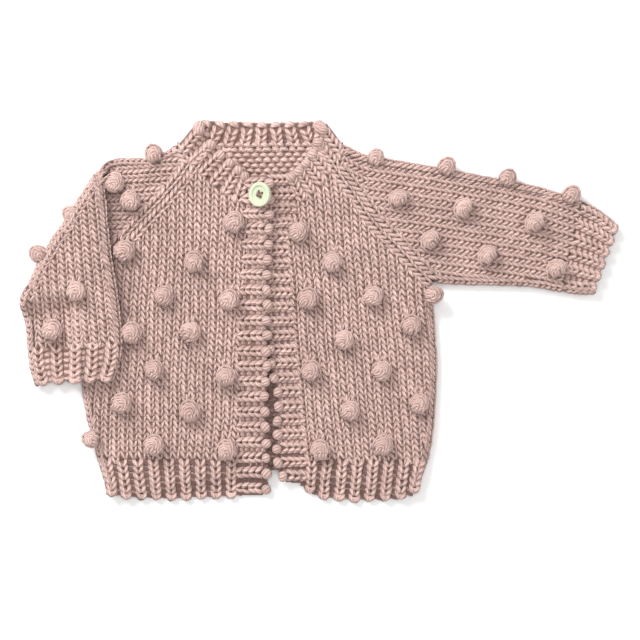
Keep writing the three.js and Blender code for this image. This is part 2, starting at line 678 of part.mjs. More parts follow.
// Height that the folded part of the right sleeve lies at: on the body and on its own upper
// part, sloping down to the surface beyond their edges
const UNDER_FOLDED_SLEEVE = [
  { x: -226.5, y: 11 }, { x: -194, y: 18 }, ...RIGHT_SIDE_FOLD, { x: -100, y: -110 }, { x: -100, y: 120 },
  { x: -166, y: 120 },
];
const SLEEVE_STEP = UNDER_FOLDED_SLEEVE.slice(0, 2).concat(RIGHT_SIDE_FOLD);
function foldedRest(x, y) {
  const distance = distanceTo(SLEEVE_STEP, x, y);
  const outside = isInside(UNDER_FOLDED_SLEEVE, x, y) ? -distance : distance;
  return SLEEVE_LIFT * (1 - smoothstep(outside, RAMP_START, RAMP_END));
}

// The folded part: a rounded nose along the fold, then two layers down to the cuff
function foldedPoint(x, y) {
  const rest = foldedRest(x, y);
  const toSide = Math.min(distanceTo(FOLDED_OUTER_EDGE, x, y), distanceTo(FOLDED_BODY_EDGE, x, y));
  const toFold = distanceTo(FOLD_LINE, x, y);
  const side = roundness(toSide, FOLD_RADIUS);
  const inNose = toFold < NOSE_DEPTH;
  const middle = inNose ? (rest + TWO_LAYERS) / 2 : rest + FOLD_RADIUS;
  const half = inNose ? middle * roundness(toFold, NOSE_DEPTH) * side : FOLD_RADIUS * side;
  return { x, y, low: middle - Math.max(half, RIM / 2), high: middle + Math.max(half, RIM / 2) };
}

const NOSE_SHARES = [0, 0.08, 0.3, 0.65, 0.96, 1.04];
const FOLDED_COLUMNS = 12;
const FOLDED_ROWS = 9;
const SLIT_START = 1.25 * NOSE_RUN;
function rightSleeveLower() {
  const end = [FOLDED_OUTER_EDGE.at(-1), FOLDED_BODY_EDGE.at(-1)];
  const place = patch(FOLD_LINE, end, FOLDED_OUTER_EDGE, FOLDED_BODY_EDGE);
  const run = (t) => Math.hypot(place(1, t).x - place(0, t).x, place(1, t).y - place(0, t).y);
  const noseSteps = NOSE_SHARES.map((step) => step * NOSE_RUN);
  const across = tubeShares(evenShares(FOLDED_COLUMNS));
  const rows = [
    ...noseSteps.map((step) => across.map((t) => place(step / run(t), t))),
    ...evenShares(FOLDED_ROWS).slice(1).map((down) => across.map((t) => {
      const noseShare = noseSteps.at(-1) / run(t);
      return place(lerp(noseShare, 1, down), t);
    })),
  ];
  const outer = plate(rows.map((row) => row.map((point) => foldedPoint(point.x, point.y))));
  const slit = plate(evenShares(SLIT_COLUMNS).map((down) => evenShares(SLIT_COLUMNS).map((share) => {
    const t = lerp(SLIT_INSET, 1 - SLIT_INSET, share);
    const { x, y } = place(lerp(SLIT_START / run(t), 1 + SLIT_PAST_END, down), t);
    const middle = foldedRest(x, y) + FOLD_RADIUS;
    return { x, y, low: middle - PLY_GAP / 2, high: middle + PLY_GAP / 2 };
  })));
  const surface = (x, y) => foldedRest(x, y) + TWO_LAYERS;
  return withBobbles(cut(outer, slit), 'right_sleeve_lower', surface);
}

// Button in its own frame: underside at z 0, a raised rim round a shallow dish, four holes
function holePlaces() {
  return [0, 1, 2, 3].map((i) => {
    const angle = HOLE_TURN + (i * Math.PI) / 2;
    return { x: HOLE_OFFSET * Math.cos(angle), y: HOLE_OFFSET * Math.sin(angle) };
  });
}

function upright(radius, from, to, place = { x: 0, y: 0 }) {
  const post = new THREE.CylinderGeometry(radius, radius, to - from, 10);
  post.rotateX(Math.PI / 2);
  post.translate(place.x, place.y, (from + to) / 2);
  return post;
}

const BUTTON_PROFILE = [
  { radius: 0, z: 0 }, { radius: 7.8, z: 0 }, { radius: BUTTON_RADIUS, z: 1.1 },
  { radius: BUTTON_RADIUS, z: 2.3 }, { radius: 8.6, z: 3.1 }, { radius: 7.5, z: 2.9 },
  { radius: 6.7, z: 2.1 }, { radius: 0, z: 1.8 },
];
function button() {
  const profile = BUTTON_PROFILE.map((point) => new THREE.Vector2(point.radius, point.z));
  const disc = new THREE.LatheGeometry(profile, 28);
  disc.rotateX(Math.PI / 2);
  const holes = join(holePlaces().map((place) => upright(HOLE_RADIUS, -1, 4, place)));
  return placedAtButton(cut(facingOut(disc), holes));
}

function placedAtButton(geometry) {
  geometry.applyMatrix4(new THREE.Matrix4().makeRotationY(-BUTTON_TILT));
  geometry.translate(BUTTON_PLACE.x, BUTTON_PLACE.y, BUTTON_PLACE.z);
  return geometry;
}

// Sewing thread: four legs through the holes, crossed on the dish, and a shank below that
// goes through the buttonhole to the left band
function buttonThread() {
  const legs = holePlaces().map((place) => upright(THREAD_RADIUS, -1, 3, place));
  const crossings = [0, 1].map((i) => {
    const bar = new THREE.BoxGeometry(2 * HOLE_OFFSET, 1.3, 0.9);
    bar.rotateZ(HOLE_TURN + (i * Math.PI) / 2);
    bar.translate(0, 0, 2.75);
    return bar;
  });
  const knot = upright(3.4, -1.9, -0.35);
  const onButton = placedAtButton(join([...legs, ...crossings, knot]));
  const shank = upright(SHANK_RADIUS, LAYER + WALL + PLY_GAP, BUTTON_PLACE.z - 1.1, BUTTON_PLACE);
  return join([onButton, shank]);
}

function rightBand() {
  const hole = new THREE.BoxGeometry(BUTTONHOLE.width, BUTTONHOLE.height, 20);
  hole.translate(BUTTON_PLACE.x, BUTTON_PLACE.y, LAYER + 10);
  return cut(band(RIGHT_BAND, BAND_RIBS.right, rightBase), hole);
}

const wool = () => new THREE.MeshStandardMaterial({ color: 0xcdaaa2, roughness: 0.95, metalness: 0 });
const plastic = () => new THREE.MeshStandardMaterial({ color: 0xe6ecc8, roughness: 0.35, metalness: 0 });
const thread = () => new THREE.MeshStandardMaterial({ color: 0x8a6a60, roughness: 0.9, metalness: 0 });

const pieces = {
  back: [backPanel(), wool()],
  hem_back: [backHem(), wool()],
  right_front: [bobbledFront('right', rightBase), wool()],
  left_front: [bobbledFront('left', leftBase), wool()],
  hem_right_front: [frontHem('rightSide', 'rightFront', RIGHT_HEM_EDGE, HEM_RIBS.right, rightBase), wool()],
  hem_left_front: [frontHem('leftSide', 'leftFront', LEFT_HEM_EDGE, HEM_RIBS.left, leftBase), wool()],
  right_band: [rightBand(), wool()],
  left_band: [band(LEFT_BAND, BAND_RIBS.left, leftBase), wool()],
  neckband: [neckband(), wool()],
  right_sleeve_upper: [rightSleeveUpper(), wool()],
  right_sleeve_lower: [rightSleeveLower(), wool()],
  right_cuff: [cuff(RIGHT_CUFF, foldedRest), wool()],
  left_sleeve: [leftSleeve(), wool()],
  left_cuff: [cuff(LEFT_CUFF, () => 0), wool()],
  button: [button(), plastic()],
  button_thread: [buttonThread(), thread()],
};

const cardigan = new THREE.Group();
for (const [name, [geometry, material]] of Object.entries(pieces)) {
  const mesh = new THREE.Mesh(geometry, material);
  mesh.name = name;
  cardigan.add(mesh);
}
export default cardigan;
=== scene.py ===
import math

import bpy
import numpy as np
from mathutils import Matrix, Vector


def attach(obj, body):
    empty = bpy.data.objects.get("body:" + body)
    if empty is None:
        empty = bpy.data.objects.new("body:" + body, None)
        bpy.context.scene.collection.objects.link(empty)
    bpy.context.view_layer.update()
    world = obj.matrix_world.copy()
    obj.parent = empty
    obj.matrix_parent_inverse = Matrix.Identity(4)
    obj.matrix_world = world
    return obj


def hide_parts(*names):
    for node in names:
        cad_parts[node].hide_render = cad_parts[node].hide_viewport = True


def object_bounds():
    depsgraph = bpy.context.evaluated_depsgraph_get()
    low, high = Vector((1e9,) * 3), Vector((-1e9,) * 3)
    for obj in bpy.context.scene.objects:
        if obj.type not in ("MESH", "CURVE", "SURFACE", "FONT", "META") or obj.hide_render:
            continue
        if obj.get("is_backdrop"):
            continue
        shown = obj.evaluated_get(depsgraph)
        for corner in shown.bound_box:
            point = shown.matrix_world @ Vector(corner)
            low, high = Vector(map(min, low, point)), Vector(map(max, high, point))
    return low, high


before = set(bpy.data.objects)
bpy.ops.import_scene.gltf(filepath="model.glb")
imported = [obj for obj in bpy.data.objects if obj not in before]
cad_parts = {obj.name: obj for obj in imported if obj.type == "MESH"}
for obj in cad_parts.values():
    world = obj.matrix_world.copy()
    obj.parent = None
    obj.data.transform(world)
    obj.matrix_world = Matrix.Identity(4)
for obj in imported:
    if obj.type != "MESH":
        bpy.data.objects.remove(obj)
cad_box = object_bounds()

# The place: a pale table under soft light from the top left, seen from straight above.
# Sizes here and at the button are in metres. Those of all that is knitted are in millimetres.
MM = 0.001
SENSOR_WIDTH = 36
CAMERA_DISTANCE = 2.0
VIEW_WIDTH = 0.4864
VIEW_CENTRE = (0, -0.0076, 0.012)
scene = bpy.context.scene
scene.view_settings.view_transform = "Standard"
camera_data = bpy.data.cameras.new("camera")
camera_data.sensor_width = SENSOR_WIDTH
camera_data.lens = SENSOR_WIDTH * CAMERA_DISTANCE / VIEW_WIDTH
camera_data.clip_end = 20
camera = bpy.data.objects.new("camera", camera_data)
camera.location = (*VIEW_CENTRE[:2], VIEW_CENTRE[2] + CAMERA_DISTANCE)
scene.collection.objects.link(camera)
scene.camera = camera

bpy.ops.mesh.primitive_plane_add(size=6, location=(0, 0, -0.0006))
table_top = bpy.context.object
table_top.name = "table_top"
paper = bpy.data.materials.new("white_paper")
paper.use_nodes = True
paper_finish = paper.node_tree.nodes["Principled BSDF"]
paper_finish.inputs["Base Color"].default_value = (0.97, 0.97, 0.97, 1)
paper_finish.inputs["Roughness"].default_value = 0.9
table_top.data.materials.append(paper)
table_top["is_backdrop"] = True

world = bpy.data.worlds.new("room")
scene.world = world
world.use_nodes = True
world.node_tree.nodes["Background"].inputs["Color"].default_value = (1, 0.99, 0.98, 1)
world.node_tree.nodes["Background"].inputs["Strength"].default_value = 0.58


def soft_light(name, place, size, power):
    """A square lamp that shines at the middle of the table."""
    lamp = bpy.data.lights.new(name, "AREA")
    lamp.size = size
    lamp.energy = power
    holder = bpy.data.objects.new(name, lamp)
    holder.location = place
    aim = -np.array(place)
    yaw = math.atan2(aim[1], aim[0])
    pitch = math.atan2(math.hypot(aim[0], aim[1]), -aim[2])
    holder.rotation_euler = (pitch, 0, yaw - math.pi / 2)
    scene.collection.objects.link(holder)


soft_light("window", (-1.0, 1.3, 1.15), 0.9, 38)
soft_light("ceiling", (0.3, -0.2, 2.6), 2.2, 30)

# The back: plain knitting in bulky dusty-pink wool, one wide piece from the ribbing up to the
# neck. Its knit side faces down and is what shows from below; its purl side faces the fronts.
WALL = 3.8
LAYER = 4.2
TWO_LAYERS = 8.0
FOLD = 4.0
STITCH = 6.5
ROW = 4.6
YARN = 1.5
EDGE_GAP = 3.9
rng = np.random.default_rng(26)


def columns(names, rows):
    """A short table with named columns."""
    return dict(zip(names.split(), np.array(rows, float).T))


BODY = columns("y right_side right_front left_front left_side", [
    (112, -98, -96, 8.6, 10.4), (101, -105, -86, 3, 17.9), (91.5, -113.2, -73.3, -6.5, 25.3),
    (82, -121.6, -57, -18, 32.1), (71, -132.4, -55.5, -22.4, 39.1), (60, -142.3, -55.5, -25, 48.6),
    (49, -153.6, -57, -26, 60.4), (37, -163.6, -57.8, -25.5, 70.7), (22, -172.5, -58.5, -24, 85),
    (4, -176.3, -59.3, -22.6, 86), (-15, -179.4, -60, -21, 87.2), (-38, -181, -60.4, -19, 88.9),
    (-62, -180.9, -60.8, -16.2, 88.2), (-85, -177, -60.8, -13.7, 86.6),
    (-101, -172.1, -61, -12.3, 84.7), (-114, -169.2, -61.5, -12.2, 82),
])
HEM_TOP = -114
RIGHT_HEM_CORNER = (-161.5, -136.5)
LEFT_HEM_CORNER = (74.8, -134)


def at_height(table, name, y):
    """Where an edge lies at the height y of the laid-out garment."""
    return np.interp(-np.asarray(y, float), -table["y"], table[name])


def line(*points):
    return np.array(points, float)


def side_fold(name, corner):
    """The line from the underarm to the hem where the body folds round to the back."""
    below = BODY["y"] <= 22
    return np.vstack([np.column_stack([BODY[name][below], BODY["y"][below]]), corner])


RIGHT_SIDE = side_fold("right_side", RIGHT_HEM_CORNER)
LEFT_SIDE = side_fold("left_side", LEFT_HEM_CORNER)


def distance_to(path, x, y):
    here = np.stack(np.broadcast_arrays(x, y), -1).astype(float)
    least = np.full(here.shape[:-1], np.inf)
    for start, end in zip(path[:-1], path[1:]):
        run = end - start
        share = np.clip(((here - start) @ run) / (run @ run), 0, 1)
        least = np.minimum(least, np.linalg.norm(here - start - share[..., None] * run, axis=-1))
    return least


def inside(outline, x, y):
    result = np.zeros(np.broadcast(x, y).shape, bool)
    for a, b in zip(outline, np.roll(outline, -1, 0)):
        if a[1] != b[1]:
            crosses = (a[1] > y) != (b[1] > y)
            result ^= crosses & (x < a[0] + (y - a[1]) / (b[1] - a[1]) * (b[0] - a[0]))
    return result


def settle(x, low, high):
    """A soft step: 0 up to low, 1 from high on."""
    share = np.clip((x - low) / (high - low), 0, 1)
    return share * share * (3 - 2 * share)


def rounded(distance, radius=FOLD):
    """The quarter circle of a fold: 0 at the edge, 1 from the radius on."""
    return np.sqrt(np.clip(1 - (1 - np.minimum(distance / radius, 1)) ** 2, 0, 1))


def body_roundness(x, y):
    return rounded(np.minimum(distance_to(RIGHT_SIDE, x, y), distance_to(LEFT_SIDE, x, y)))


def back_hem_edge(x):
    return -119.3 - 19 * ((x + 43) / 117) ** 2


def back_rise(share, y):
    """The back's rows arch upwards between its sides, the more so the nearer they are to the hem."""
    return 19 * (1 - (2 * share - 1) ** 2) * settle(-y, 10, 114)


def back_under(x, y):
    return np.minimum(WALL * (1 - body_roundness(x, y)), WALL - 0.5)


def flat_at(height):
    return lambda x, y: np.full(np.shape(x), float(height))


# The wool: three soft plies that wind round each other, fuzzy, matt and a little uneven in tone.
# A strand gets painted shade where it dips behind another one and on its underside,
# as an attribute of its points says.
def add_node(tree, kind, inputs=(), **settings):
    new = tree.nodes.new("ShaderNode" + kind)
    for name, value in settings.items():
        setattr(new, name, value)
    for socket, value in dict(inputs).items():
        if isinstance(value, bpy.types.NodeSocket):
            tree.links.new(value, new.inputs[socket])
        else:
            new.inputs[socket].default_value = value
    return new


def wool(name, light, dark, hollow, plies=3, bump=0.8):
    material = bpy.data.materials.new(name)
    material.use_nodes = True
    tree = material.node_tree
    finish = tree.nodes["Principled BSDF"]
    place = add_node(tree, "TexCoord")
    along = add_node(tree, "VectorMath", {0: place.outputs["UV"], 1: (1 / 5.5, plies, 0)},
                     operation="DOT_PRODUCT")
    turns = add_node(tree, "Math", {0: along.outputs["Value"], 1: 2 * math.pi}, operation="MULTIPLY")
    ply = add_node(tree, "Math", {0: turns.outputs[0]}, operation="SINE")
    cloud = add_node(tree, "TexNoise", {"Vector": place.outputs["Object"], "Scale": 55.0,
                                        "Detail": 3.0})
    fibre = add_node(tree, "TexNoise", {"Vector": place.outputs["Object"], "Scale": 1500.0,
                                        "Detail": 2.0})
    tone = add_node(tree, "Attribute", attribute_name="tone")
    deep = add_node(tree, "Attribute", attribute_name="hollow")
    light_share = add_node(tree, "Math", {0: cloud.outputs["Fac"], 1: 0.7}, operation="MULTIPLY")
    light_share = add_node(tree, "Math", {0: tone.outputs["Fac"], 1: 0.35, 2: light_share.outputs[0]},
                           operation="MULTIPLY_ADD")
    # The ply stripes paint light on the plies' crests and shade in the grooves between them
    light_share = add_node(tree, "Math", {0: ply.outputs[0], 1: 0.2, 2: light_share.outputs[0]},
                           operation="MULTIPLY_ADD")
    light_share = add_node(tree, "Math", {0: fibre.outputs["Fac"], 1: 0.3, 2: light_share.outputs[0]},
                           operation="MULTIPLY_ADD")
    spread = add_node(tree, "MapRange", {"Value": light_share.outputs[0], "From Min": 0.3,
                                         "From Max": 1.0})
    strand = add_node(tree, "Mix", {"Factor": spread.outputs[0], "A": dark, "B": light},
                      data_type="RGBA")
    # Painted shade: the colour goes toward the shade colour as far as the strand's attribute says
    colour = add_node(tree, "Mix", {"Factor": deep.outputs["Fac"], "A": strand.outputs["Result"],
                                    "B": hollow}, data_type="RGBA")
    tree.links.new(colour.outputs["Result"], finish.inputs["Base Color"])
    relief = add_node(tree, "Math", {0: fibre.outputs["Fac"], 1: 0.5, 2: ply.outputs[0]},
                      operation="MULTIPLY_ADD")
    rough = add_node(tree, "Bump", {"Height": relief.outputs[0], "Strength": bump, "Distance": 0.0005})
    tree.links.new(rough.outputs["Normal"], finish.inputs["Normal"])
    finish.inputs["Roughness"].default_value = 0.88
    finish.inputs["Sheen Weight"].default_value = 0.35
    finish.inputs["Sheen Roughness"].default_value = 0.45
    finish.inputs["Specular IOR Level"].default_value = 0.25
    return material


DUSTY_PINK = wool("dusty_pink_wool", (0.82, 0.583, 0.525, 1), (0.51, 0.335, 0.295, 1),
                  (0.18, 0.097, 0.082, 1))
# Painted shade: the same wool darkened, for the sheets behind the strands that show in their gaps
PINK_IN_PAINTED_SHADE = wool("dusty_pink_wool_painted_shade", (0.36, 0.225, 0.19, 1), (0.20, 0.115, 0.095, 1),
                  (0.10, 0.05, 0.04, 1))


def add_mesh(name, points, quads, material, uv=None, tone=None, hollow=None):
    """A woollen piece that rides on the part, from points in millimetres."""
    mesh = bpy.data.meshes.new(name)
    points = np.asarray(points, float) * MM
    quads = np.asarray(quads, int)
    mesh.vertices.add(len(points))
    mesh.vertices.foreach_set("co", points.ravel())
    mesh.loops.add(quads.size)
    mesh.loops.foreach_set("vertex_index", quads.ravel())
    mesh.polygons.add(len(quads))
    mesh.polygons.foreach_set("loop_start", np.arange(len(quads)) * 4)
    mesh.polygons.foreach_set("use_smooth", np.ones(len(quads), bool))
    mesh.update(calc_edges=True)
    if uv is not None:
        mesh.uv_layers.new(name="strand").data.foreach_set("uv", np.asarray(uv, float).ravel())
    for label, values in (("tone", tone), ("hollow", hollow)):
        if values is not None:
            layer = mesh.attributes.new(label, "FLOAT", "POINT")
            layer.data.foreach_set("value", np.asarray(values, float))
    mesh.materials.append(material)
    piece = bpy.data.objects.new(name, mesh)
    scene.collection.objects.link(piece)
    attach(piece, "root")
    return piece


# The body of the fabric: a thin closed sheet behind the strands of each piece, in the wool's
# colour darkened into painted shade, which shows only as the dark between the strands
def wall_grid(x, y, low, high):
    """A closed plate over a grid of plan points, from the low surface to the high one."""
    rows, across = x.shape
    points = np.concatenate([np.stack([x, y, high], -1).reshape(-1, 3),
                             np.stack([x, y, low], -1).reshape(-1, 3)])
    index = np.arange(rows * across).reshape(rows, across)
    a, b, c, d = index[:-1, :-1], index[1:, :-1], index[1:, 1:], index[:-1, 1:]
    top = np.stack([a, b, c, d], -1).reshape(-1, 4)
    bottom = (top + index.size)[:, ::-1]
    rim = np.concatenate([index[0, :-1], index[:-1, -1], index[-1, :0:-1], index[:0:-1, 0]])
    next_rim = np.roll(rim, -1)
    sides = np.stack([rim, next_rim, next_rim + index.size, rim + index.size], -1)
    return facing_out(points, np.concatenate([top, bottom, sides]))


def facing_out(points, quads):
    a, b, c, d = (points[quads[:, k]] for k in range(4))
    volume = np.sum(a * np.cross(b, c)) + np.sum(a * np.cross(c, d))
    return points, quads if volume > 0 else quads[:, ::-1]


def stacked(parts):
    """Several meshes' points and faces as one mesh's."""
    points, quads, start = [], [], 0
    for some_points, some_quads in parts:
        points.append(some_points)
        quads.append(some_quads + start)
        start += len(some_points)
    return np.concatenate(points), np.concatenate(quads)


# The stitches: each is a V of two strands, one slanting and one nearly upright, that come out of
# the stitch below and tuck in behind the stitch above. A profile says how a strand's girth,
# height and painted shade change along it, and a leg where it starts and ends beside the stitch's
# middle.
PROFILES = {
    "knit": columns("share girth rise hollow", [
        (0, 0.42, -0.45, 0.35), (0.14, 0.9, 0.3, 0.02), (0.45, 1, 0.2, 0.02), (0.78, 0.9, -0.6, 0.2),
        (1, 0.5, -1.6, 0.9)]),
    "plain": columns("share girth rise hollow", [
        (0, 0.42, -0.45, 0.35), (0.2, 1, 0.3, 0.02), (0.65, 0.95, -0.3, 0.2), (1, 0.5, -1.6, 0.9)]),
    "bump": columns("share girth rise hollow", [
        (0, 0.5, -1.3, 0.7), (0.22, 0.9, 0.1, 0.05), (0.5, 1, 0.5, 0), (0.78, 0.9, 0.1, 0.05),
        (1, 0.5, -1.3, 0.7)]),
}
GIRTH_POINTS = 6
ABOVE_TABLE = 0.02
STEEPEST = 1.6
HAND_KNIT = dict(base=0.24, tip=0.3, girth=0.09, height=0.12)
SLANTING = dict(base=(0.19, -0.82), tip=(-0.55, 0.86), half=1.42, bow=-0.05)
UPRIGHT = dict(base=(0.33, -0.9), tip=(0.38, 1.0), half=1.0, bow=0.03)
KNIT = (SLANTING, UPRIGHT)
RIB = (dict(base=(0.04, -0.74), tip=(-0.36, 0.8), half=1.2, bow=-0.05),
       dict(base=(0.09, -0.8), tip=(0.33, 0.86), half=1.16, bow=0.04))
PURL = (dict(base=(-0.54, -0.32), tip=(0.54, -0.3), half=1.85, bow=-0.2),
        dict(base=(-0.04, 0.18), tip=(1.04, 0.2), half=1.85, bow=-0.2))
VALLEY = (dict(base=(-0.46, -0.12), tip=(0.44, 0.1), half=1.35, bow=-0.12),)
EDGE_LOOP = (dict(base=(-0.4, 0.12), tip=(0.4, 0.12), half=1.9, bow=0.13),)


def run_along(path):
    """The length of a path up to each of its points."""
    return np.concatenate([[0], np.cumsum(np.linalg.norm(np.diff(path, axis=0), axis=1))])


def along_line(path, share):
    run = run_along(path)
    run_wanted = np.atleast_1d(share) * run[-1]
    return np.column_stack([np.interp(run_wanted, run, path[:, k]) for k in (0, 1)])


def resampled(path, step):
    """Places for stitches about a step apart on a path, and the path's course at each."""
    run = run_along(path)
    count = max(1, round(run[-1] / step))
    middle = (np.arange(count) + 0.5) * run[-1] / count
    place, ahead, behind = (
        np.column_stack([np.interp(middle + shift, run, path[:, k]) for k in (0, 1)])
        for shift in (0, 0.4, -0.4))
    course = ahead - behind
    return place, course / np.linalg.norm(course, axis=1)[:, None]


def on_surface(places, courses, height, side=1):
    """The frames of stitches on a height function, on top of it or, for side -1, under it."""
    x, y = places.T
    step = 0.7
    slope_x = (height(x + step, y) - height(x - step, y)) / (2 * step)
    slope_y = (height(x, y + step) - height(x, y - step)) / (2 * step)
    out = side * np.column_stack([-slope_x, -slope_y, np.ones(len(x))])
    out[:, :2] = np.clip(out[:, :2], -STEEPEST, STEEPEST)
    out /= np.linalg.norm(out, axis=1)[:, None]
    along = np.column_stack([courses, np.zeros(len(x))])
    along -= np.sum(along * out, 1)[:, None] * out
    along /= np.linalg.norm(along, axis=1)[:, None]
    across = np.cross(along, out)
    across, along = (way / np.clip(np.hypot(way[:, 0], way[:, 1]), 0.7, 1)[:, None]
                     for way in (across, along))
    return np.column_stack([x, y, height(x, y)]), across, along, out


def on_fold(path, step, middle, cloth, tilt, wide, high):
    """Stitches round a folded edge, facing away from the point cloth and turned up by tilt degrees."""
    places, courses = resampled(path, step)
    along = np.column_stack([courses, np.zeros(len(places))])
    out = np.column_stack([courses[:, 1], -courses[:, 0], np.zeros(len(places))])
    out *= np.sign(np.sum(out[:, :2] * (places - cloth)))
    level, rise = math.cos(math.radians(tilt)), math.sin(math.radians(tilt))
    centre = middle(*places.T)
    origin = np.column_stack([places, centre + rise * (centre if high is None else high)])
    origin -= wide * (1 - level) * out
    turned = level * out + rise * np.array([0, 0, 1])
    return origin, np.cross(along, turned), along, turned


def strand_faces(run, girth, turns=1):
    """The wall and caps of one strand, and their UV: run along it, and turns round it."""
    ring, side = np.meshgrid(np.arange(len(run) - 1), np.arange(girth), indexing="ij")
    a, b = ring * girth + side, ring * girth + (side + 1) % girth
    wall = np.stack([a, a + girth, b + girth, b], -1).reshape(-1, 4)
    cap = np.array([[0, k, k + 1, k + 2] for k in range(1, girth - 2, 2)])
    caps = np.concatenate([cap, (cap + (len(run) - 1) * girth)[:, ::-1]])
    v, next_v = turns * side / girth, turns * (side + 1) / girth
    uv = np.stack([np.stack([run[ring], v], -1), np.stack([run[ring + 1], v], -1),
                   np.stack([run[ring + 1], next_v], -1), np.stack([run[ring], next_v], -1)], -2)
    return np.concatenate([wall, caps]), np.concatenate([uv.reshape(-1, 2), np.zeros((caps.size, 2))])


def strands(frames, legs, pitch=STITCH, row=ROW, profile="knit", size=1.0, lift=0.0, keep=None,
            deep=1.0):
    """A strand for each frame and leg, but only where keep says so of the strand's middle.

    Size is its thickness, lift its height over the surface, and deep scales its relief."""
    share, girths, rise, ends = PROFILES[profile].values()
    rings = len(share)
    turn = 2 * math.pi * np.arange(GIRTH_POINTS) / GIRTH_POINTS
    quads, leg_uv = strand_faces(share, GIRTH_POINTS)
    parts = []
    for leg in legs:
        origin, across, along, out = frames
        if keep is not None:
            middle = (np.array(leg["base"]) + leg["tip"]) / 2
            middle = origin + middle[0] * pitch * across + middle[1] * row * along
            origin, across, along, out = (part[keep(*middle[:, :2].T)] for part in frames)
        count = len(origin)
        uneven = rng.normal(0, 1, (count, 6)).clip(-2, 2)
        start = np.array(leg["base"]) * (pitch, row) + uneven[:, :2] * HAND_KNIT["base"]
        end = np.array(leg["tip"]) * (pitch, row) + uneven[:, 2:4] * HAND_KNIT["tip"]
        course = end - start
        length = np.linalg.norm(course, axis=1)
        course /= length[:, None]
        aside = np.column_stack([course[:, 1], -course[:, 0]])
        bow = leg["bow"] * pitch * np.sin(math.pi * share)
        centre = start[:, None] + share[None, :, None] * (end - start)[:, None]
        centre = centre + bow[None, :, None] * aside[:, None]
        half = leg["half"] * size * (1 + HAND_KNIT["girth"] * uneven[:, 4])[:, None] * girths
        thick = YARN * size * deep * girths
        plan = centre[:, :, None] + (half[:, :, None] * np.cos(turn))[..., None] * aside[:, None, None]
        height = lift - YARN * size + rise + HAND_KNIT["height"] * uneven[:, 5:]
        height = deep * height[:, :, None]
        height = height + thick[None, :, None] * np.sin(turn)
        points = (origin[:, None, None] + plan[..., :1] * across[:, None, None]
                  + plan[..., 1:] * along[:, None, None] + height[..., None] * out[:, None, None])
        points[..., 2] = np.maximum(points[..., 2], ABOVE_TABLE)
        # Painted shade: darker at the strand's ends, where it tucks behind others, and on its underside
        hollow = np.clip(ends[:, None] + 0.9 * np.clip(0.35 - np.sin(turn), 0, 1), 0, 1)
        tone = np.repeat(rng.uniform(0, 1, count), rings * GIRTH_POINTS)
        all_quads = quads[None] + (np.arange(count) * rings * GIRTH_POINTS)[:, None, None]
        uv = leg_uv[None] * np.stack([length, np.ones(count)], -1)[:, None]
        parts.append((points.reshape(-1, 3), all_quads.reshape(-1, 4), uv.reshape(-1, 2), tone,
                      np.tile(hollow.ravel(), count)))
    return parts


def round_fold(path, step, middle, cloth, tilts=(42, -42), pitch=6.6, wide=4.0, high=4.0, short=2.5):
    """The wales that turn round a folded edge from the upper layer to the lower one."""
    path = along_line(path, np.linspace(0, 1 - short / run_along(path)[-1], 40))
    parts = []
    for tilt in tilts:
        parts += strands(on_fold(path, step, middle, cloth, tilt, wide, high), KNIT, pitch=pitch,
                         row=step, profile="knit" if tilt >= 0 else "plain")
    return parts


def knitted(name, parts, material=DUSTY_PINK):
    """One woollen piece from many strands."""
    points, quads = stacked([part[:2] for part in parts])
    uv, tone, hollow = (np.concatenate([part[k] for part in parts]) for k in (2, 3, 4))
    return add_mesh(name, points, quads, material, uv, tone, hollow)


# The plain fabric: straight wales side by side that cover a piece's outline, and the rule that
# cuts them to it and leaves room for the stitches round its edges
def field(first, course, outline, across=STITCH, row=ROW):
    """The places and courses of stitches on wales a little uneven, as hand knitting is."""
    course = np.array(course, float) / np.linalg.norm(course)
    aside = np.array([course[1], -course[0]])
    spread = (outline - first) @ np.column_stack([aside, course])
    i = np.arange(math.floor(spread[:, 0].min() / across), math.ceil(spread[:, 0].max() / across) + 1)
    j = np.arange(math.floor(spread[:, 1].min() / row), math.ceil(spread[:, 1].max() / row) + 1)
    i, j = (grid.ravel() for grid in np.meshgrid(i, j))
    places = np.array(first) + np.outer(i * across, aside) + np.outer(j * row, course)
    x, y = places.T
    sway = np.sin(x / 19 + 1.5 * np.sin(y / 27)) + 0.6 * np.sin(y / 11 - x / 33)
    places = places + 0.55 * np.column_stack([sway, np.sin(x / 23) + np.sin(y / 31 + x / 13)])
    return places, np.broadcast_to(course, places.shape)


def within(outline, *clear):
    """True inside the outline, further than each (line, distance) asks from its line."""
    def keep(x, y):
        kept = inside(outline, x, y)
        for path, gap in clear:
            kept = kept & (distance_to(path, x, y) > gap)
        return kept
    return keep


def fold_shares(width, inset=2.0, inner=14):
    """Shares across a piece, closer together beside its folded edges."""
    steps = np.array([inset, inset + 0.7, inset + 2.2, inset + 5]) / width
    return np.concatenate([steps, np.linspace(steps[-1], 1 - steps[-1], inner)[1:-1], 1 - steps[::-1]])


back_y = np.concatenate([[123.4, 118], np.linspace(112, -114, 50)])
back_x, back_rows = [], []
for y in back_y:
    right = np.interp(-y, [-123.4, *-BODY["y"]], [-88.5, *BODY["right_side"]])
    left = np.interp(-y, [-123.4, *-BODY["y"]], [0.5, *BODY["left_side"]])
    shares = fold_shares(left - right, inner=24)
    back_x.append(right + shares * (left - right))
    back_rows.append(y + back_rise(shares, y))
back_x, back_rows = np.array(back_x), np.array(back_rows)
back_low = np.minimum(back_under(back_x, back_rows) + 1.4, WALL - 0.9)
back_cloth = add_mesh("back_cloth", *wall_grid(
    back_x, back_rows, back_low, np.full(back_x.shape, WALL - 0.5)), PINK_IN_PAINTED_SHADE)
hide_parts("back")

BACK_OUTLINE = np.vstack([
    [(-88.5, 123.4), (0.5, 123.4)], np.column_stack([BODY["left_side"], BODY["y"]]),
    [(x, back_hem_edge(x) + 24.3) for x in np.linspace(80, -166, 12)],
    np.column_stack([BODY["right_side"], BODY["y"]])[::-1],
])

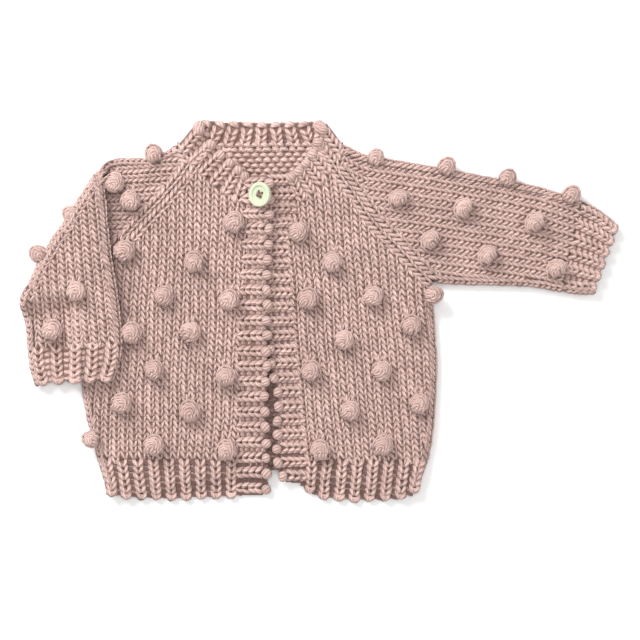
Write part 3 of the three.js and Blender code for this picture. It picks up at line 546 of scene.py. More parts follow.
back_stitches = strands(on_surface(*field((-43, 0), (0, 1), BACK_OUTLINE), back_under, -1), KNIT,
                        profile="plain",
                        keep=within(BACK_OUTLINE, (RIGHT_SIDE, EDGE_GAP), (LEFT_SIDE, EDGE_GAP)))
neck_opening = line((-99, 128), (13, 128), (-4, 96), (-30, 78), (-62, 78), (-90, 96))
slit = line((-50, -48), (-22, -48), (-22, -124), (-50, -124))
PURL_PITCH = 6.6
PURL_ROW = 7.8
# The purl bumps deep in the slit between the bands get painted shade
for opening, shade in ((neck_opening, 0), (slit, 0.85)):
    purl_side = field((-43.5, 120), (0, 1), opening, across=PURL_PITCH, row=PURL_ROW)
    bumps = strands(on_surface(*purl_side, flat_at(WALL)), PURL, pitch=PURL_PITCH, row=PURL_ROW,
                    profile="bump", lift=1.2, keep=within(opening))
    back_stitches += [(*part[:4], np.maximum(part[4], shade)) for part in bumps]
back_knit = knitted("back_knitting", back_stitches)

# The fronts: two pieces of plain knitting, wales upright, whose knit side shows. The right one
# laps over the left band down to the chest. Below the underarms they fold round to the back.
RIGHT_BAND = columns("y pick_up outer", [
    (102.6, -53, -38), (99, -53.6, -35.6), (82, -56.3, -35), (71, -55, -35.4), (60, -55, -35.7),
    (49, -56.4, -36.2), (22, -57.9, -37), (-15, -59.4, -37.2), (-53, -60.1, -37.8), (-70, -60.2, -38.9),
    (-106, -60.5, -38), (-129, -61.3, -37.4), (-137, -61.6, -38.2), (-141.4, -61.7, -41.5),
])
LEFT_BAND = columns("y pick_up outer", [
    (104.4, -29.5, -41), (100, -27.4, -47), (82, -19, -48.6), (71, -23, -48.6), (60, -25.6, -48.6),
    (49, -26.5, -48.3), (37, -26, -47.9), (4, -23.2, -44.8), (-38, -19.6, -41), (-49, -18.4, -39.6),
    (-56, -17.6, -36.6), (-68, -16.3, -35), (-101, -12.9, -35.7), (-118, -12.8, -35.3),
    (-127, -12.8, -31.4), (-132, -12.8, -24),
])


def left_base(x, y):
    """The surface that the left front lies on: the back, and the table below the back's hem."""
    return LAYER * (1 - settle(back_hem_edge(x) - y, 2, 16))


def right_base(x, y):
    """The same for the right front, which rises over the left band."""
    clear = at_height(LEFT_BAND, "outer", np.minimum(y, 100)) - x
    return left_base(x, y) + LAYER * (1 - settle(clear, 1, 12)) * settle(y, -80, -58)


def front_top(base):
    return lambda x, y: base(x, y) + WALL * body_roundness(x, y)


def raised(base, height):
    return lambda x, y: base(x, y) + height


def front_cloth(name, side, edge, base):
    x, y = [], []
    for level in np.linspace(112, -114, 60):
        start, end = at_height(BODY, side, level), at_height(BODY, edge, level)
        steps = np.array([2, 2.7, 4.2, 7]) / max(abs(end - start), 14)
        shares = np.concatenate([steps, np.linspace(steps[-1], 1, 14)[1:]])
        x.append(start + shares * (end - start))
        y.append(np.full(len(shares), level))
    x, y = np.array(x), np.array(y)
    low = base(x, y)
    high = np.maximum(low + WALL * body_roundness(x, y) - 2.0, low + 0.5)
    return add_mesh(name, *wall_grid(x, y, low, high), PINK_IN_PAINTED_SHADE)


def raglan_line(name):
    above = BODY["y"] >= 22
    return np.column_stack([BODY[name][above], BODY["y"][above]])


RIGHT_RAGLAN, LEFT_RAGLAN = raglan_line("right_side"), raglan_line("left_side")


def front_places(side, edge, first, course, fold, raglan):
    outline = np.vstack([np.column_stack([BODY[side], BODY["y"]]),
                         np.column_stack([BODY[edge], BODY["y"]])[::-1]])
    return field(first, course, outline), within(outline, (fold, EDGE_GAP), (raglan, 4.8))


def beside(path, offset):
    """The same path moved sideways, to the right of its run for a positive offset."""
    run = np.gradient(path, axis=0)
    run /= np.linalg.norm(run, axis=1)[:, None]
    return path + offset * np.column_stack([run[:, 1], -run[:, 0]])


RAGLAN_ROW = 4.9
RAGLAN_SHOWN = dict(pitch=7.2, size=1.08, lift=0.4)


def raglan_wale(path, height, side=1, **look):
    """One wale of V stitches that runs beside a raglan seam."""
    frames = on_surface(*resampled(path, RAGLAN_ROW), height, side)
    return strands(frames, KNIT, row=RAGLAN_ROW, **look)


for side_word, side, edge, base, first, course, fold, raglan, flat, wale_aside in [
    ("right", "right_side", "right_front", right_base, (-64.9, -112), (6, 185), RIGHT_SIDE,
     RIGHT_RAGLAN, (0.122, 0.226), 3.2),
    ("left", "left_side", "left_front", left_base, (-9.0, -112), (-13.8, 163), LEFT_SIDE,
     LEFT_RAGLAN, (0.108, 0.226), -3.2),
]:
    cloth = front_cloth(f"{side_word}_front_cloth", side, edge, base)
    top = front_top(base)
    places, keep = front_places(side, edge, first, course, fold, raglan)
    parts = strands(on_surface(*places, top), KNIT, keep=keep)
    parts += round_fold(fold[::-1], ROW, flat_at(FOLD), (-43, 0))
    top_end = raglan[0] + 1.4 * (raglan[0] - raglan[1])
    wale = beside(np.vstack([top_end, raglan])[::-1], wale_aside)
    parts += raglan_wale(wale, top, **RAGLAN_SHOWN)
    knit = knitted(f"{side_word}_front_knitting", parts)
    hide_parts(f"{side_word}_front")

# The hems: single ribbing that carries on below the fronts and the back. Each rib is one wale
# of knit stitches, and a sunken wale of purl bumps lies between two ribs. The undersides of the
# front hems lie on the back hem and are pressed flatter.
PRESSED_FLAT = 0.35
RIGHT_HEM = line((-161.5, -136.5), (-158, -141), (-148, -143.2), (-110, -144.2), (-62.3, -142.4))
LEFT_HEM = line((74.8, -134), (69, -141.2), (60, -143.8), (27, -145.6), (0, -143.4), (-6, -139.8),
                (-11.8, -134.5))


def ribbing(ribs, valleys, height, side=1, rib=10.6, plump=1.42, profile="knit", cast_on=False,
            cast_off=False, deep=1.0):
    """A wale of wide V stitches along each path in ribs, and a low purl wale along each valley."""
    parts = []
    for path in ribs:
        places, courses = resampled(path, ROW)
        parts += strands(on_surface(places, courses, height, side), RIB, pitch=rib, size=plump,
                         lift=0.9, profile=profile, deep=deep)
        for wanted, edge, inward in ((cast_on, path[0] + 1.9 * courses[:1], courses[:1]),
                                     (cast_off, path[-1] + 2.6 * courses[-1:], -courses[-1:])):
            if wanted:
                parts += strands(on_surface(edge, inward, height, side), EDGE_LOOP, pitch=rib,
                                 size=1.2, lift=0.5, profile="bump", deep=deep)
    for path in valleys:
        frames = on_surface(*resampled(path, ROW), height, side)
        parts += strands(frames, VALLEY, pitch=8.0, size=1.7, lift=-2.4, profile="plain",
                         deep=min(deep, 0.6))
    return parts


def quilt(top, bottom, rows=8, inset=1.2):
    """Grid between two lines of as many points, stopping short of the bottom one."""
    run = np.linalg.norm(bottom - top, axis=1)
    share = np.linspace(0, 1, rows)[:, None] * (1 - inset / run)[None]
    return (top[:, 0] + share * (bottom - top)[:, 0], top[:, 1] + share * (bottom - top)[:, 1])


for side_word, side, edge, hem, ribs, base, fold, flat in [
    ("right", "right_side", "right_front", RIGHT_HEM, 9, right_base, RIGHT_SIDE, (0.108, 0.030)),
    ("left", "left_side", "left_front", LEFT_HEM, 8, left_base, LEFT_SIDE, (0.094, 0.031)),
]:
    def hem_top(share):
        x = BODY[side][-1] + np.asarray(share) * (BODY[edge][-1] - BODY[side][-1])
        return np.column_stack([x, np.full(len(x), HEM_TOP)])

    shares = np.linspace(0.02, 1, 60)
    x, y = quilt(hem_top(shares), along_line(hem, shares))
    low = base(x, y) + 0.8
    high = np.maximum(low + WALL * body_roundness(x, y) - 3.3, low + 0.5)
    cloth = add_mesh(f"{side_word}_hem_cloth", *wall_grid(x, y, low, high), PINK_IN_PAINTED_SHADE)
    ribs, valleys = (np.stack([along_line(hem, share), hem_top(share)], 1)
                     for share in ((np.arange(ribs) + 0.5) / ribs,
                                   np.arange(1, ribs + 1) / ribs - 0.006))
    parts = ribbing(ribs, valleys, front_top(base), cast_on=True)
    parts += ribbing(ribs, valleys, base, -1, profile="plain", cast_on=True, deep=PRESSED_FLAT)
    knit = knitted(f"{side_word}_hem_knitting", parts)
    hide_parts(f"hem_{side_word}_front")

# The back hem: the same ribbing in the same wool, worked below the back and cast on at its
# lower edge, which is an arch between the two side folds. It is seen from below.
BACK_RIBS = 20
hem_shares = np.linspace(0.012, 0.988, 90)
hem_starts = BODY["right_side"][-1] + hem_shares * (BODY["left_side"][-1] - BODY["right_side"][-1])
hem_ends = RIGHT_HEM_CORNER[0] + hem_shares * (LEFT_HEM_CORNER[0] - RIGHT_HEM_CORNER[0])
top_line = np.column_stack([hem_starts, HEM_TOP + back_rise(hem_shares, HEM_TOP)])
low_line = np.column_stack([hem_ends, back_hem_edge(hem_ends)])
x, y = quilt(top_line, low_line)
back_hem_cloth = add_mesh("back_hem_cloth", *wall_grid(
    x, y, np.minimum(back_under(x, y) + 1.6, WALL - 0.9), np.full(x.shape, WALL - 0.4)), PINK_IN_PAINTED_SHADE)


def on_hem_line(path, share):
    return np.column_stack([np.interp(share, hem_shares, path[:, k]) for k in (0, 1)])


ribs, valleys = (np.stack([on_hem_line(low_line, share), on_hem_line(top_line, share)], 1)
                 for share in ((np.arange(BACK_RIBS) + 0.5) / BACK_RIBS,
                               np.arange(1, BACK_RIBS) / BACK_RIBS))
back_hem_knit = knitted("back_hem_knitting", ribbing(ribs, valleys, back_under, side=-1,
                                                     profile="plain", cast_on=True))
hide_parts("hem_back")

# The bands: ribbing picked up along the front edges and worked outwards, so that its ribs lie
# across. It is bound off in a row of round knobs, one at the end of each rib.
def strand_along(path, aside, out, half, thick, tone, painted_shade_ends=0.6, girth=GIRTH_POINTS,
                 under=0.55, turns=1):
    """One closed strand on a path of 3-D points, with its own cross section at each of them."""
    turn = 2 * math.pi * np.arange(girth) / girth
    points = (path[:, None] + (half[:, None] * np.cos(turn))[..., None] * aside[:, None]
              + (thick[:, None] * np.sin(turn))[..., None] * out[:, None])
    points[..., 2] = np.maximum(points[..., 2], ABOVE_TABLE)
    quads, uv = strand_faces(run_along(path), girth, turns)
    # Painted shade at both ends of the strand and, as much as under says, on its underside
    ends = np.full(len(path), 0.06)
    ends[[0, -1]] = painted_shade_ends
    hollow = np.clip(ends[:, None] + under * np.clip(-np.sin(turn) + 0.1, 0, 1), 0, 1)
    return [(points.reshape(-1, 3), quads, uv, np.full(hollow.size, tone), hollow.ravel())]


KNOB_SIZE = np.array([4.1, 4.0, 3.3])


def knob(centre, course, size=1.0):
    """The round end of a rib, where the wool turns on itself: a plain smooth lump."""
    wide, tall, high = KNOB_SIZE * size * rng.uniform(0.88, 1.08, 3)
    lean = rng.uniform(-0.5, 0.5)
    along = np.array(course, float) + (0, lean, 0)
    along /= np.linalg.norm(along)
    v = np.array([-0.96, -0.8, -0.5, -0.15, 0.2, 0.5, 0.78, 0.95])
    girth = np.sqrt(1 - v ** 2)
    path = np.array(centre) + (tall * v)[:, None] * along + np.array([0, 0, 0.25]) * girth[:, None]
    aside = np.tile((-along[1], along[0], 0), (len(v), 1))
    return strand_along(path, aside, np.tile((0, 0, 1.0), (len(v), 1)), wide * girth, high * girth,
                        rng.uniform(0.0, 0.5), 0.6, 10, 0.7, turns=3)


def band(table, ribs, base, knob_side):
    """The wall and the knitting of a button band, its knobs on the side knob_side, 1 or -1."""
    levels = np.linspace(table["y"][0], table["y"][-1], 6 * ribs)
    x = np.array([at_height(table, "pick_up", levels), at_height(table, "outer", levels)])
    shares = np.linspace(0, 1, 7)[:, None] * (1 - 2.5 / np.abs(x[1] - x[0]))
    grid_x = x[0] + shares * (x[1] - x[0])
    grid_y = np.broadcast_to(levels, grid_x.shape)
    low = base(grid_x, grid_y) + 0.8
    wall = wall_grid(grid_x, grid_y, low, low + WALL - 3.2)
    middles = np.interp((np.arange(ribs) + 0.5) / ribs, (0, 1), table["y"][[0, -1]])
    gaps = np.interp(np.arange(1, ribs) / ribs, (0, 1), table["y"][[0, -1]])

    def lines(levels, short):
        inner, outer = at_height(table, "pick_up", levels), at_height(table, "outer", levels)
        inner, outer = inner - knob_side * 2.4, outer - knob_side * short
        return np.stack([np.column_stack([inner, levels]), np.column_stack([outer, levels])], 1)

    parts = ribbing(lines(middles, 6.2), lines(gaps, 4), raised(base, WALL))
    parts += ribbing(lines(middles[-2:], 3), lines(gaps[-2:], 3), base, -1, profile="plain",
                     deep=PRESSED_FLAT)
    for level in middles:
        x = at_height(table, "outer", level) - knob_side * rng.uniform(2.6, 3.8)
        centre = np.array([x, level + rng.uniform(-1.4, 0.2), float(base(x, level)) + WALL - 0.6])
        parts += knob(centre, (knob_side, 0, 0))
    return wall, parts


right_wall, right_parts = band(RIGHT_BAND, 21, right_base, 1)
left_wall, left_parts = band(LEFT_BAND, 22, left_base, -1)
for side_word, wall, parts, flat in [("right", right_wall, right_parts, (0.023, 0.246)),
                                     ("left", left_wall, left_parts, (0.024, 0.238))]:
    cloth = add_mesh(f"{side_word}_band_cloth", *wall, PINK_IN_PAINTED_SHADE)
    knit = knitted(f"{side_word}_band_knitting", parts)
    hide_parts(f"{side_word}_band")

# The neckband: a ring of ribbing picked up round the neck. Its front half turns outwards over
# the back half at the shoulders, where the inside of the back half shows behind it.
NECK_RIGHT = columns("x y edge_x edge_y", [
    (-57.2, 82.6, -54.2, 103.4), (-73.1, 92.1, -60.8, 110.2), (-85.7, 101.6, -69.9, 117.8),
    (-95.2, 112.2, -78.3, 126.2), (-100.6, 119, -85.9, 135.3), (-106.4, 127.7, -92.7, 144.6)])
NECK_LEFT = columns("x y edge_x edge_y", [
    (-18.2, 83, -26.6, 101.8), (-7, 92.2, -18.2, 108.7), (2.5, 101.6, -10.6, 117),
    (8, 112.4, -5.3, 127.7), (12.2, 121.6, -1.5, 137.5), (16, 127.4, 3.8, 144.2)])
NECK_BACK = columns("x y edge_x edge_y", [
    (-104.4, 127.3, -90.6, 144.2), (-88.5, 124, -78, 142.9), (0.5, 124, -9, 142.7),
    (14, 127, 1.8, 143.8)])


def neck_row(table, share):
    steps = np.concatenate([[0], np.cumsum(np.hypot(np.diff(table["x"]), np.diff(table["y"])))])
    steps /= steps[-1]
    inner = np.column_stack([np.interp(share, steps, table[name]) for name in ("x", "y")])
    outer = np.column_stack([np.interp(share, steps, table[name]) for name in ("edge_x", "edge_y")])
    return inner, outer


def neck_strip(table, ribs, base, rib=10.4, plump=1.45, back=False):
    """One stretch of the neckband. Only the back one is seen from below too."""
    shares = np.linspace(0, 1, ribs * 6)
    inner, outer = neck_row(table, shares)
    x, y = quilt(inner, outer, 6, 2.2)
    low = base(x, y)
    wall = wall_grid(x, y, low + (1.6 if back else 0), low + WALL - (1.6 if back else 2.4))
    starts, ends = neck_row(table, (np.arange(ribs) + 0.5) / ribs)
    course = ends - starts
    course /= np.linalg.norm(course, axis=1)[:, None]
    paths = np.stack([starts - 2.5 * course, ends - 4.6 * course], 1)
    valleys = np.stack(neck_row(table, np.arange(1, ribs) / ribs), 1)
    parts = ribbing(paths, valleys, raised(base, WALL), rib=rib, plump=plump, cast_off=back)
    if back:
        return wall, parts + ribbing(paths, valleys, base, -1, profile="plain", cast_off=True,
                                     deep=PRESSED_FLAT)
    for end, run in zip(ends, course):
        spot = end - 3.8 * run
        parts += knob(np.array([*spot, float(base(*spot)) + WALL - 0.5]), (*run, 0))
    return wall, parts


strips = [neck_strip(NECK_BACK, 9, flat_at(0), rib=11.6, plump=1.5, back=True),
          neck_strip(NECK_RIGHT, 6, right_base), neck_strip(NECK_LEFT, 6, flat_at(LAYER))]
neck_cloth = add_mesh("neckband_cloth", *stacked([strip[0] for strip in strips]), PINK_IN_PAINTED_SHADE)
neck_parts = sum((strip[1] for strip in strips), [])
SHOULDER_KNOBS = [(-92.4, 139.4, 0.5), (0.4, 138.8, -0.5)]
for x, y, turn in SHOULDER_KNOBS:
    neck_parts += knob(np.array([x, y, 5.6]), (math.sin(turn), math.cos(turn), 0), 1.25)
neck_knit = knitted("neckband_knitting", neck_parts)
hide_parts("neckband")

# The left sleeve: a knitted tube laid flat, so that it shows one layer from above and one from
# below. Its wales run from the cuff up to the raglan seam, slanting with the shoulder.
LEFT_TOP = line((16.6, 126.4), (32.7, 118), (53.2, 114.4), (79.8, 110.2), (106.4, 105.3), (136.8, 99.6),
                (168.7, 93.1), (199.4, 83))
LEFT_LOW = line((85.5, 22), (95, 20.5), (107.9, 19.8), (124.6, 19.4), (140.6, 19), (156.6, 18.6),
                (171, 16.7), (183.6, 14.4))
LEFT_CUFF_TOP = line((199.9, 82.8), (214.5, 75), (226.8, 64.5))
LEFT_CUFF_LOW = line((184.1, 14.3), (197, 12.4), (208.4, 12.4))


def plan_patch(start, end, first, second, s, t):
    """Points between four lines: s runs from the start line to the end line, t across."""
    a, b = along_line(start, t), along_line(end, t)
    c, d = along_line(first, s), along_line(second, s)
    s, t = s[:, None, None], t[None, :, None]
    corners = (1 - t) * start[0] + t * start[-1], (1 - t) * end[0] + t * end[-1]
    return ((1 - s) * a[None] + s * b[None] + (1 - t) * c[:, None] + t * d[:, None]
            - (1 - s) * corners[0] - s * corners[1])


def tube_wall(plan, low, high, closed_start=False):
    """A flattened tube with a wall: outside, inside, and the rims where it is open."""
    middle = (low + high) / 2

    def loops(plan, low, high):
        top = np.concatenate([plan, high[..., None]], -1)
        return np.concatenate([top, np.concatenate([plan, low[..., None]], -1)[:, ::-1]], 1)

    outer = loops(plan, low, high)
    skip = 3 if closed_start else 0
    centre = plan.mean(1, keepdims=True)
    inner_plan = centre + 0.95 * (plan - centre)
    inner = loops(inner_plan[skip:], middle[skip:] - 0.3, middle[skip:] + 0.3)
    around = outer.shape[1]

    def skin(rows, start):
        s, k = np.meshgrid(np.arange(rows - 1), np.arange(around), indexing="ij")
        a, b = start + s * around + k, start + s * around + (k + 1) % around
        return np.stack([a, a + around, b + around, b], -1).reshape(-1, 4)

    inner_start = outer.shape[0] * around
    k = np.arange(around)
    o_last, i_last = (outer.shape[0] - 1) * around, inner_start + (inner.shape[0] - 1) * around
    rim = np.stack([o_last + (k + 1) % around, o_last + k, i_last + k, i_last + (k + 1) % around], -1)
    quads = [skin(outer.shape[0], 0), skin(inner.shape[0], inner_start)[:, ::-1], rim]
    if closed_start:
        m = np.arange(around // 2 - 1)
        cap = np.stack([m, m + 1, around - 2 - m, around - 1 - m], -1)
        quads += [cap, cap[:, ::-1] + inner_start]
    else:
        quads.append(np.stack([k, (k + 1) % around, inner_start + (k + 1) % around,
                               inner_start + k], -1))
    points = np.concatenate([outer.reshape(-1, 3), inner.reshape(-1, 3)])
    return facing_out(points, np.concatenate(quads))


def tube_heights(folds, rest):
    """The lower and upper faces of a flattened tube between two folds, resting on a surface."""
    def half(x, y):
        return FOLD * rounded(np.minimum(*(distance_to(fold, x, y) for fold in folds)))
    return (lambda x, y: rest(x, y) + FOLD - half(x, y)), (lambda x, y: rest(x, y) + FOLD + half(x, y))


def tube_cloth(name, plan, under, over, thin=2.0, closed_start=False):
    x, y = plan[..., 0], plan[..., 1]
    middle = (under(x, y) + over(x, y)) / 2
    low = np.minimum(under(x, y) + thin - 0.4, middle - 0.6)
    high = np.maximum(over(x, y) - thin, middle + 0.6)
    return add_mesh(name, *tube_wall(plan, low, high, closed_start), PINK_IN_PAINTED_SHADE)


SLEEVE_STITCH = 7.07
SLEEVE_ROW = 4.28
SLEEVE_GAUGE = dict(pitch=SLEEVE_STITCH, row=SLEEVE_ROW)
SLEEVE_KNIT = (dict(base=(0.15, -0.8), tip=(-0.55, 0.86), half=1.38, bow=-0.05),
               dict(base=(0.22, -0.84), tip=(0.5, 0.92), half=1.28, bow=0.03))
LEFT_SHOULDER = line((16.6, 126.4), (13.2, 121))
left_raglan_edge = np.vstack([LEFT_SHOULDER, LEFT_RAGLAN + (0.5, 0)])
left_under, left_over = tube_heights([LEFT_TOP, LEFT_LOW], flat_at(0))
across_shares = fold_shares(90)
left_plan = plan_patch(left_raglan_edge, np.array([LEFT_TOP[-1], LEFT_LOW[-1]]), LEFT_TOP, LEFT_LOW,
                       np.linspace(0, 1, 40), across_shares)
left_cloth = tube_cloth("left_sleeve_cloth", left_plan, left_under, left_over)
left_outline = np.vstack([left_raglan_edge, LEFT_LOW[1:], LEFT_TOP[::-1]])


def sleeve_wales(paths):
    """The places and courses of the stitches on several wales, given from the cuff upwards."""
    places, courses = zip(*(resampled(path, SLEEVE_ROW) for path in paths))
    return np.concatenate(places), np.concatenate(courses)


left_x = np.linspace(205, 8, 60)
left_top_y = np.interp(left_x, LEFT_TOP[:, 0], LEFT_TOP[:, 1])
wale_spread = SLEEVE_STITCH * (1 - 0.10 * np.clip((left_x - 20) / 180, 0, 1)) / math.cos(0.2)
left_wales = sleeve_wales([np.column_stack([left_x, left_top_y - (k + 0.75) * wale_spread])
                           for k in range(16)])
folds = (LEFT_TOP, EDGE_GAP), (LEFT_LOW, EDGE_GAP)
left_parts = strands(on_surface(*left_wales, left_over), SLEEVE_KNIT, **SLEEVE_GAUGE,
                     keep=within(left_outline, *folds, (LEFT_RAGLAN, 5.0)))
left_parts += raglan_wale(beside(left_raglan_edge[::-1], 3.6), left_over, **RAGLAN_SHOWN)
left_parts += strands(on_surface(*left_wales, left_under, -1), KNIT, **SLEEVE_GAUGE,
                      profile="plain", keep=within(left_outline, *folds))
left_parts += raglan_wale(beside(left_raglan_edge[::-1], 2), left_under, -1, profile="plain")
for fold in (LEFT_TOP, LEFT_LOW):
    left_parts += round_fold(fold[::-1], SLEEVE_ROW, flat_at(FOLD), (120, 60))
left_knit = knitted("left_sleeve_knitting", left_parts)
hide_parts("left_sleeve")


# The cuffs: a few rows of ribbing in the same wool that draw the wrist in, cast on first and
# knitted on into the sleeve: six ribs on each layer of the left one, five on the right
def cuff(name, top_edge, low_edge, rest, count):
    """A cuff between its two folded edges, with so many ribs on each layer."""
    under, over = tube_heights([top_edge, low_edge], rest)
    rib = 0.86 * np.linalg.norm(top_edge[0] - low_edge[0]) / count
    plan = plan_patch(np.array([top_edge[0], low_edge[0]]), np.array([top_edge[-1], low_edge[-1]]),
                      top_edge, low_edge, np.linspace(0, 0.95, 10), fold_shares(72, inner=40))
    cloth = tube_cloth(f"{name}_cloth", plan, under, over, thin=2.5)
    parts = []
    ribs, valleys = ([((1 - share) * top_edge + share * low_edge)[::-1] for share in shares]
                     for shares in ((np.arange(count) + 0.5) / count, np.arange(1, count) / count))
    for height, side, profile in ((over, 1, "knit"), (under, -1, "plain")):
        parts += ribbing(ribs, valleys, height, side, rib, plump=1.5, profile=profile, cast_on=True)
    for fold in (top_edge, low_edge):
        parts += round_fold(fold[::-1], ROW, raised(rest, FOLD), (top_edge[1] + low_edge[1]) / 2)
    knit = knitted(f"{name}_knitting", parts)
    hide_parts(name)


cuff("left_cuff", LEFT_CUFF_TOP, LEFT_CUFF_LOW, flat_at(0), 6)

# The right sleeve: the same tube, folded over on a slanting line. Its upper part runs out from
# the raglan seam to the fold; the rest turns back over it and hangs down beside the front.
RIGHT_TOP = line((-107, 126.8), (-117.8, 120.3), (-131.5, 115.2), (-146, 115.2), (-156, 115.4),
                 (-162.6, 113.4))
RIGHT_LOW = line((-173, 22), (-194, 18.4), (-211.5, 13.6))
RIGHT_END = line((-162.6, 113.4), (-163.4, 105), (-162.6, 97), (-169, 84), (-180.6, 67),
                 (-193.4, 47.4), (-203.4, 30.4), (-211.5, 13.6))
ELBOW = (-226.5, 11)
FOLD_LINE = line(ELBOW, (-220.4, 24.3), (-214.3, 37.2), (-204.4, 54.7), (-197.6, 64),
                 (-191.5, 73.7), (-185.4, 83.2), (-180.1, 91.4), (-173.3, 101.8), (-166.6, 108.4))
OUTER_EDGE = line(ELBOW, (-228, 5), (-226.6, -2), (-223.5, -13), (-222.7, -30))
BODY_EDGE = line((-166.6, 108.4), (-163.9, 91), (-161.9, 64.6), (-158.8, 39.5), (-155, 15.2),
                 (-152, -7.6), (-150.9, -24.6))
RIGHT_CUFF_TOP = line((-222.6, -29), (-221, -44), (-217, -56.8))
RIGHT_CUFF_LOW = line((-150.8, -23.6), (-152.4, -40), (-157.6, -53))

RIGHT_SHOULDER = line((-107, 126.8), (-101.9, 118.4))
right_raglan_edge = np.vstack([RIGHT_SHOULDER, RIGHT_RAGLAN - (0.5, 0)])
upper_under, upper_over = tube_heights([RIGHT_TOP, RIGHT_LOW], flat_at(0))
upper_plan = plan_patch(right_raglan_edge, RIGHT_END, RIGHT_TOP, RIGHT_LOW,
                        np.linspace(0, 1, 20), across_shares)
upper_cloth = tube_cloth("right_sleeve_upper_cloth", upper_plan, upper_under, upper_over)
upper_outline = np.vstack([right_raglan_edge, RIGHT_LOW, RIGHT_END[::-1], RIGHT_TOP[::-1]])
under_outline = np.vstack([right_raglan_edge, RIGHT_LOW, FOLD_LINE, RIGHT_TOP[::-1]])
folds = (RIGHT_TOP, EDGE_GAP), (RIGHT_LOW, EDGE_GAP)
upper_field = field((-160, 62), (1, 0.02), under_outline, across=SLEEVE_STITCH, row=SLEEVE_ROW)
upper_parts = strands(on_surface(*upper_field, upper_over), SLEEVE_KNIT, **SLEEVE_GAUGE,
                      keep=within(upper_outline, *folds, (RIGHT_RAGLAN, 5.0)))
upper_parts += raglan_wale(beside(right_raglan_edge[::-1], -3.6), upper_over, **RAGLAN_SHOWN)
neck_corner_wale = line((-97.5, 111), (-104, 124))
upper_parts += raglan_wale(neck_corner_wale, flat_at(TWO_LAYERS - 0.4), pitch=7.2)
upper_parts += strands(on_surface(*upper_field, upper_under, -1), KNIT, **SLEEVE_GAUGE,
                       profile="plain", keep=within(under_outline, *folds, (FOLD_LINE, 7.4)))
upper_parts += raglan_wale(beside(right_raglan_edge[::-1], -2), upper_under, -1, profile="plain")
SHOULDER_CORNER = line((-168.4, 104), (-165.2, 109.8), (-160.4, 113.4))
CORNER_RISE = 4.5


def upper_fold_middle(x, y):
    """The height of the folds' middle, which rises to the folded part round the shoulder corner."""
    return FOLD + CORNER_RISE * (1 - settle(np.hypot(x + 168, y - 104), 2, 16))


shoulder_fold = np.vstack([SHOULDER_CORNER,
                           along_line(RIGHT_TOP[::-1], np.linspace(0.16, 1, 28))])
for fold in (shoulder_fold, RIGHT_LOW[::-1]):
    path = along_line(fold, np.linspace(0, 1, 30))
    upper_parts += round_fold(path, SLEEVE_ROW, upper_fold_middle, (-150, 70))
upper_knit = knitted("right_sleeve_upper_knitting", upper_parts)
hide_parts("right_sleeve_upper")

FOLDED_REST = 8.8
NOSE_RADIUS = 9.2
SLEEVE_STEP = np.vstack([[ELBOW, (-194, 18)], RIGHT_SIDE])
UNDER_SLEEVE = np.vstack([SLEEVE_STEP, [(-100, -110), (-100, 120), (-166, 120)]])


def folded_rest(x, y):
    """What the folded part rests on: the layers below it, and the table beyond their edge."""
    distance = distance_to(SLEEVE_STEP, x, y)
    outside = np.where(inside(UNDER_SLEEVE, x, y), -distance, distance)
    return FOLDED_REST * (1 - settle(outside, 0.5, 18))


def folded_heights(x, y):
    """Its lower and upper faces, which close round the fold line in a deep nose."""
    rest = folded_rest(x, y)
    side = rounded(np.minimum(distance_to(OUTER_EDGE, x, y), distance_to(BODY_EDGE, x, y)))
    to_fold = distance_to(FOLD_LINE, x, y)
    share = settle(to_fold, 5, 13)
    nose = (rest + TWO_LAYERS) / 2
    middle = nose + share * (rest + FOLD - nose)
    half = ((1 - share) * nose * rounded(to_fold, NOSE_RADIUS) + share * FOLD) * side
    return middle - half, middle + half


def folded_under(x, y):
    return folded_heights(x, y)[0]


def folded_over(x, y):
    return folded_heights(x, y)[1]


lower_rows = np.concatenate([np.linspace(0.02, 0.22, 10), np.linspace(0.25, 1, 26)])
lower_plan = plan_patch(FOLD_LINE, np.array([OUTER_EDGE[-1], BODY_EDGE[-1]]), OUTER_EDGE, BODY_EDGE,
                        lower_rows, fold_shares(74))
lower_cloth = tube_cloth("right_sleeve_lower_cloth", lower_plan, folded_under, folded_over,
                         closed_start=True)
lower_outline = np.vstack([FOLD_LINE, BODY_EDGE[1:], OUTER_EDGE[::-1]])
lower_paths = []
for k in range(-6, 7):
    lean = math.tan(math.radians(4.2 + 0.35 * k))
    foot = -187 + (k + 0.5) * SLEEVE_STITCH
    lower_paths.append(line((foot, -28), (foot - lean * 140, 112)))
places, courses = sleeve_wales(lower_paths)
sides = (OUTER_EDGE, EDGE_GAP), (BODY_EDGE, EDGE_GAP)
lower_parts = strands(on_surface(places, courses, folded_over), KNIT, **SLEEVE_GAUGE,
                      keep=within(lower_outline, *sides, (FOLD_LINE, 7.4)))
hanging = ~inside(UNDER_SLEEVE, *places.T)
lower_parts += strands(on_surface(places[hanging], courses[hanging], folded_under, -1), KNIT,
                       **SLEEVE_GAUGE, profile="plain",
                       keep=within(lower_outline, *sides, (FOLD_LINE, 6)))


def nose_middle(x, y):
    """The middle height of the wool that turns round the fold line."""
    return (folded_rest(x + 3.5, y - 2) + TWO_LAYERS) / 2


round_elbow = np.vstack([OUTER_EDGE[::-1], along_line(FOLD_LINE, (0.04, 0.08))])
for fold, short in ((round_elbow, 2.5), (BODY_EDGE[::-1], 7)):
    lower_parts += round_fold(fold, SLEEVE_ROW, raised(folded_rest, FOLD), (-187, 10), short=short)
lower_parts += round_fold(FOLD_LINE, SLEEVE_ROW, nose_middle, (-180, 30), (68, 38, 8, -22, -52),
                          pitch=6.4, wide=NOSE_RADIUS, high=None, short=1)
lower_knit = knitted("right_sleeve_lower_knitting", lower_parts)
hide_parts("right_sleeve_lower")
cuff("right_cuff", RIGHT_CUFF_TOP, RIGHT_CUFF_LOW, folded_rest, 5)


